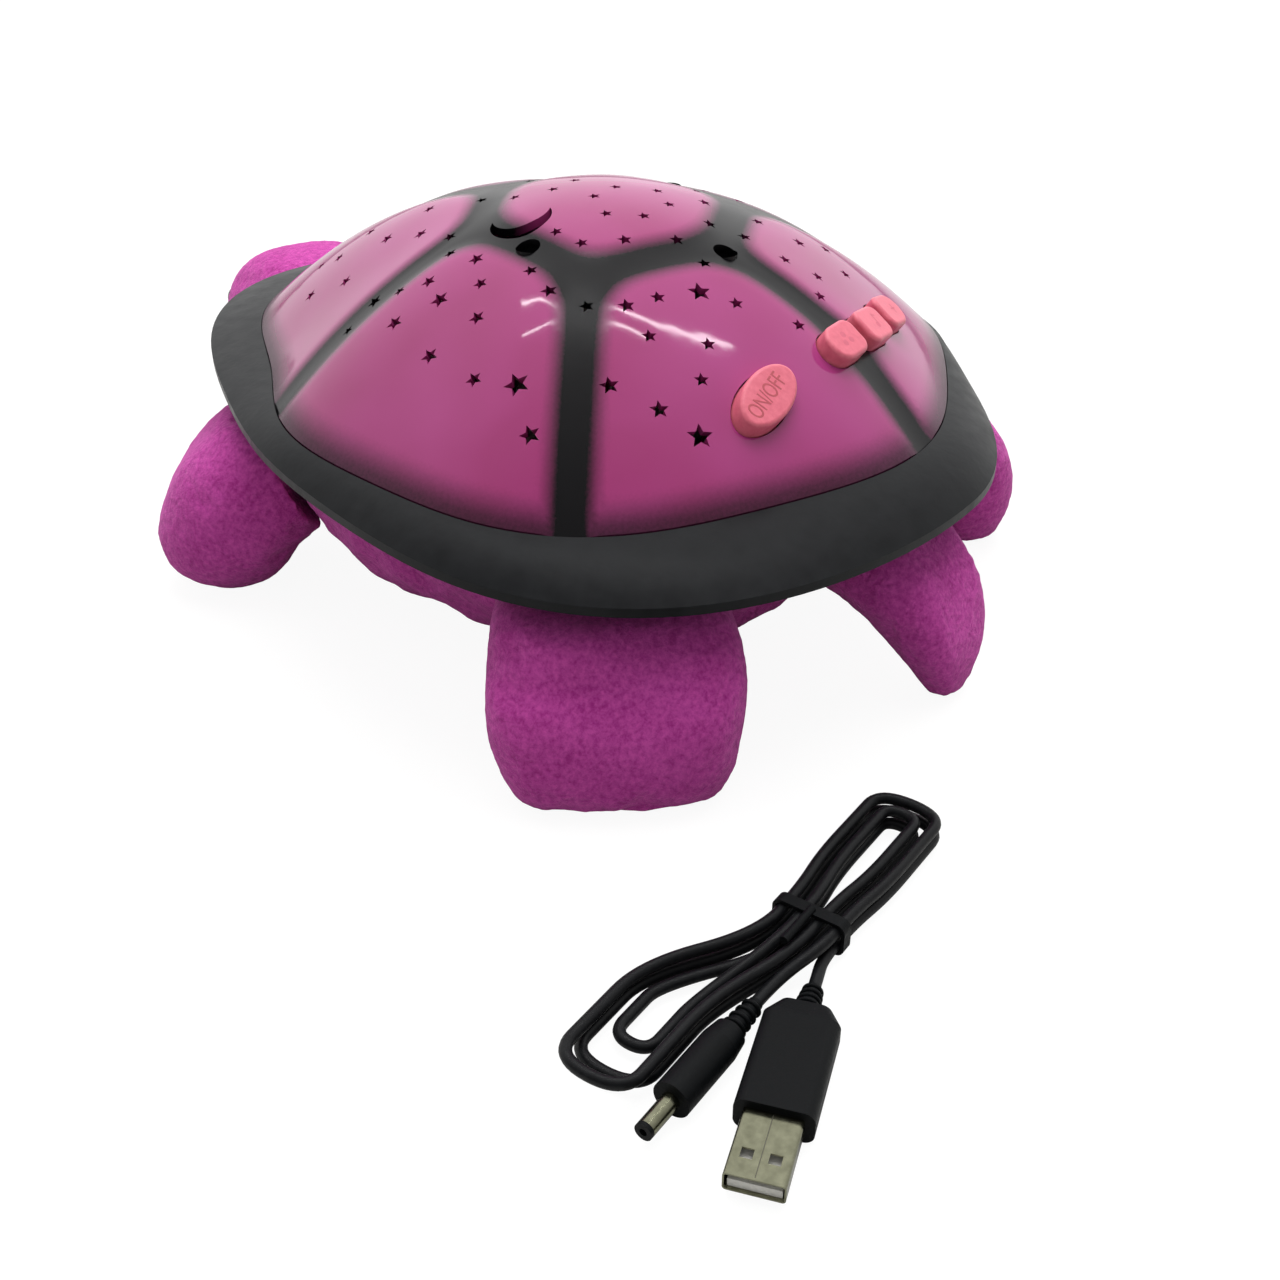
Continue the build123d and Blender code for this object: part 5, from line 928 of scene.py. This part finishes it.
# White paper: matt, with the turtle's shadow. Its glow is for the camera alone and brings it near white.
paper = bpy.data.materials.new("white_paper")
paper.use_nodes = True
tree = paper.node_tree
tree.nodes.clear()
ray = add(tree, "ShaderNodeLightPath", {}, {})
share = add(tree, "ShaderNodeMath", {"operation": "MULTIPLY"}, {0: ray.outputs["Is Camera Ray"], 1: 0.80})
matt = add(tree, "ShaderNodeBsdfDiffuse", {}, {"Color": colour("#BEBEBC")})
glow = add(tree, "ShaderNodeEmission", {}, {"Color": colour("#FFFFFF"), "Strength": 1.16})
blend = add(tree, "ShaderNodeMixShader", {}, {
    0: share.outputs["Value"], 1: matt.outputs["BSDF"], 2: glow.outputs["Emission"]})
add(tree, "ShaderNodeOutputMaterial", {}, {"Surface": blend.outputs["Shader"]})
floor_mesh.materials.append(paper)
floor = bpy.data.objects.new("floor", floor_mesh)
bpy.context.scene.collection.objects.link(floor)

# The wall behind the turtle is white and lit, the room in front of it is dim.
BACK_WALL = Vector((-0.78, -0.54, 0.32))
world = bpy.data.worlds.new("studio")
world.use_nodes = True
tree = world.node_tree
tree.nodes.clear()
ray = add(tree, "ShaderNodeLightPath", {}, {})
way = add(tree, "ShaderNodeTexCoord", {}, {})
facing = add(tree, "ShaderNodeVectorMath", {"operation": "DOT_PRODUCT"}, {
    0: way.outputs["Generated"], 1: BACK_WALL})
room = add(tree, "ShaderNodeMapRange", {"interpolation_type": "SMOOTHSTEP"}, {
    "Value": facing.outputs["Value"], "From Min": -0.5, "From Max": 0.9, "To Min": 0.14, "To Max": 1.2})
level = add(tree, "ShaderNodeMath", {"operation": "MAXIMUM"}, {
    0: ray.outputs["Is Camera Ray"], 1: room.outputs["Result"]})
sky = add(tree, "ShaderNodeBackground", {}, {"Color": colour("#FFFFFF"), "Strength": level.outputs["Value"]})
add(tree, "ShaderNodeOutputWorld", {}, {"Surface": sky.outputs["Background"]})
bpy.context.scene.world = world


def soft_box(name, place, target, width, height, power, mirrored):
    """Rectangular lamp aimed at a place; a lamp that isn't mirrored leaves no patch on the gloss."""
    data = bpy.data.lights.new(name, "AREA")
    data.shape = "RECTANGLE"
    data.size = width
    data.size_y = height
    data.energy = power
    lamp = bpy.data.objects.new(name, data)
    way = Vector(target) - Vector(place)
    lamp.location = place
    lamp.rotation_euler = way.to_track_quat("-Z", "Y").to_euler()
    lamp.visible_glossy = mirrored
    bpy.context.scene.collection.objects.link(lamp)
    return lamp


def strip(name, start, end, width, power):
    """Thin tube lamp between two places, facing down, mirrored in the dome as a line."""
    start, end = Vector(start), Vector(end)
    centre = (start + end) / 2
    upward = Vector((0, 0, 1))
    lamp = soft_box(name, centre, centre - upward, width, (end - start).length, power, True)
    along = (end - start).normalized()
    turn = Matrix((along.cross(upward), along, upward)).transposed().to_4x4()
    lamp.matrix_world = Matrix.Translation(centre) @ turn


middle = (0, shell_y, 0.06)
soft_box("top_box", (-0.2, shell_y, 1.5), middle, 1.2, 1.2, 17, False)
soft_box("front_box", (0.9, 0.5, 0.9), middle, 0.9, 0.9, 2.4, False)
soft_box("back_box", (-0.9, -0.6, 1.0), middle, 0.7, 0.7, 7, False)
strip("far_strip", (-0.07, -0.81 + shell_y, 1.3), (-0.56, 0.45 + shell_y, 1.3), 0.022, 1.6)
strip("near_strip", (0.11, -0.68 + shell_y, 1.3), (-0.36, 0.22 + shell_y, 1.3), 0.016, 1.0)

# Camera: its place is measured from the shell's middle, and its directions are right and up in the picture.
CAMERA_PLACE = Vector((0.3420, 0.2531, 0.2440))
CAMERA_RIGHT = Vector((-0.5726, 0.8199, 0.0))
CAMERA_UP = Vector((-0.4427, -0.3092, 0.8417))
camera_data = bpy.data.cameras.new("camera")
camera_data.lens = 45.0
camera_data.sensor_width = 36.0
camera_data.clip_start = 0.01
camera = bpy.data.objects.new("camera", camera_data)
bpy.context.scene.collection.objects.link(camera)
turn = Matrix((CAMERA_RIGHT, CAMERA_UP, CAMERA_RIGHT.cross(CAMERA_UP))).transposed().to_4x4()
camera.matrix_world = Matrix.Translation(CAMERA_PLACE + Vector((0, shell_y, 0))) @ turn
bpy.context.scene.camera = camera
bpy.context.scene.view_settings.view_transform = "Standard"
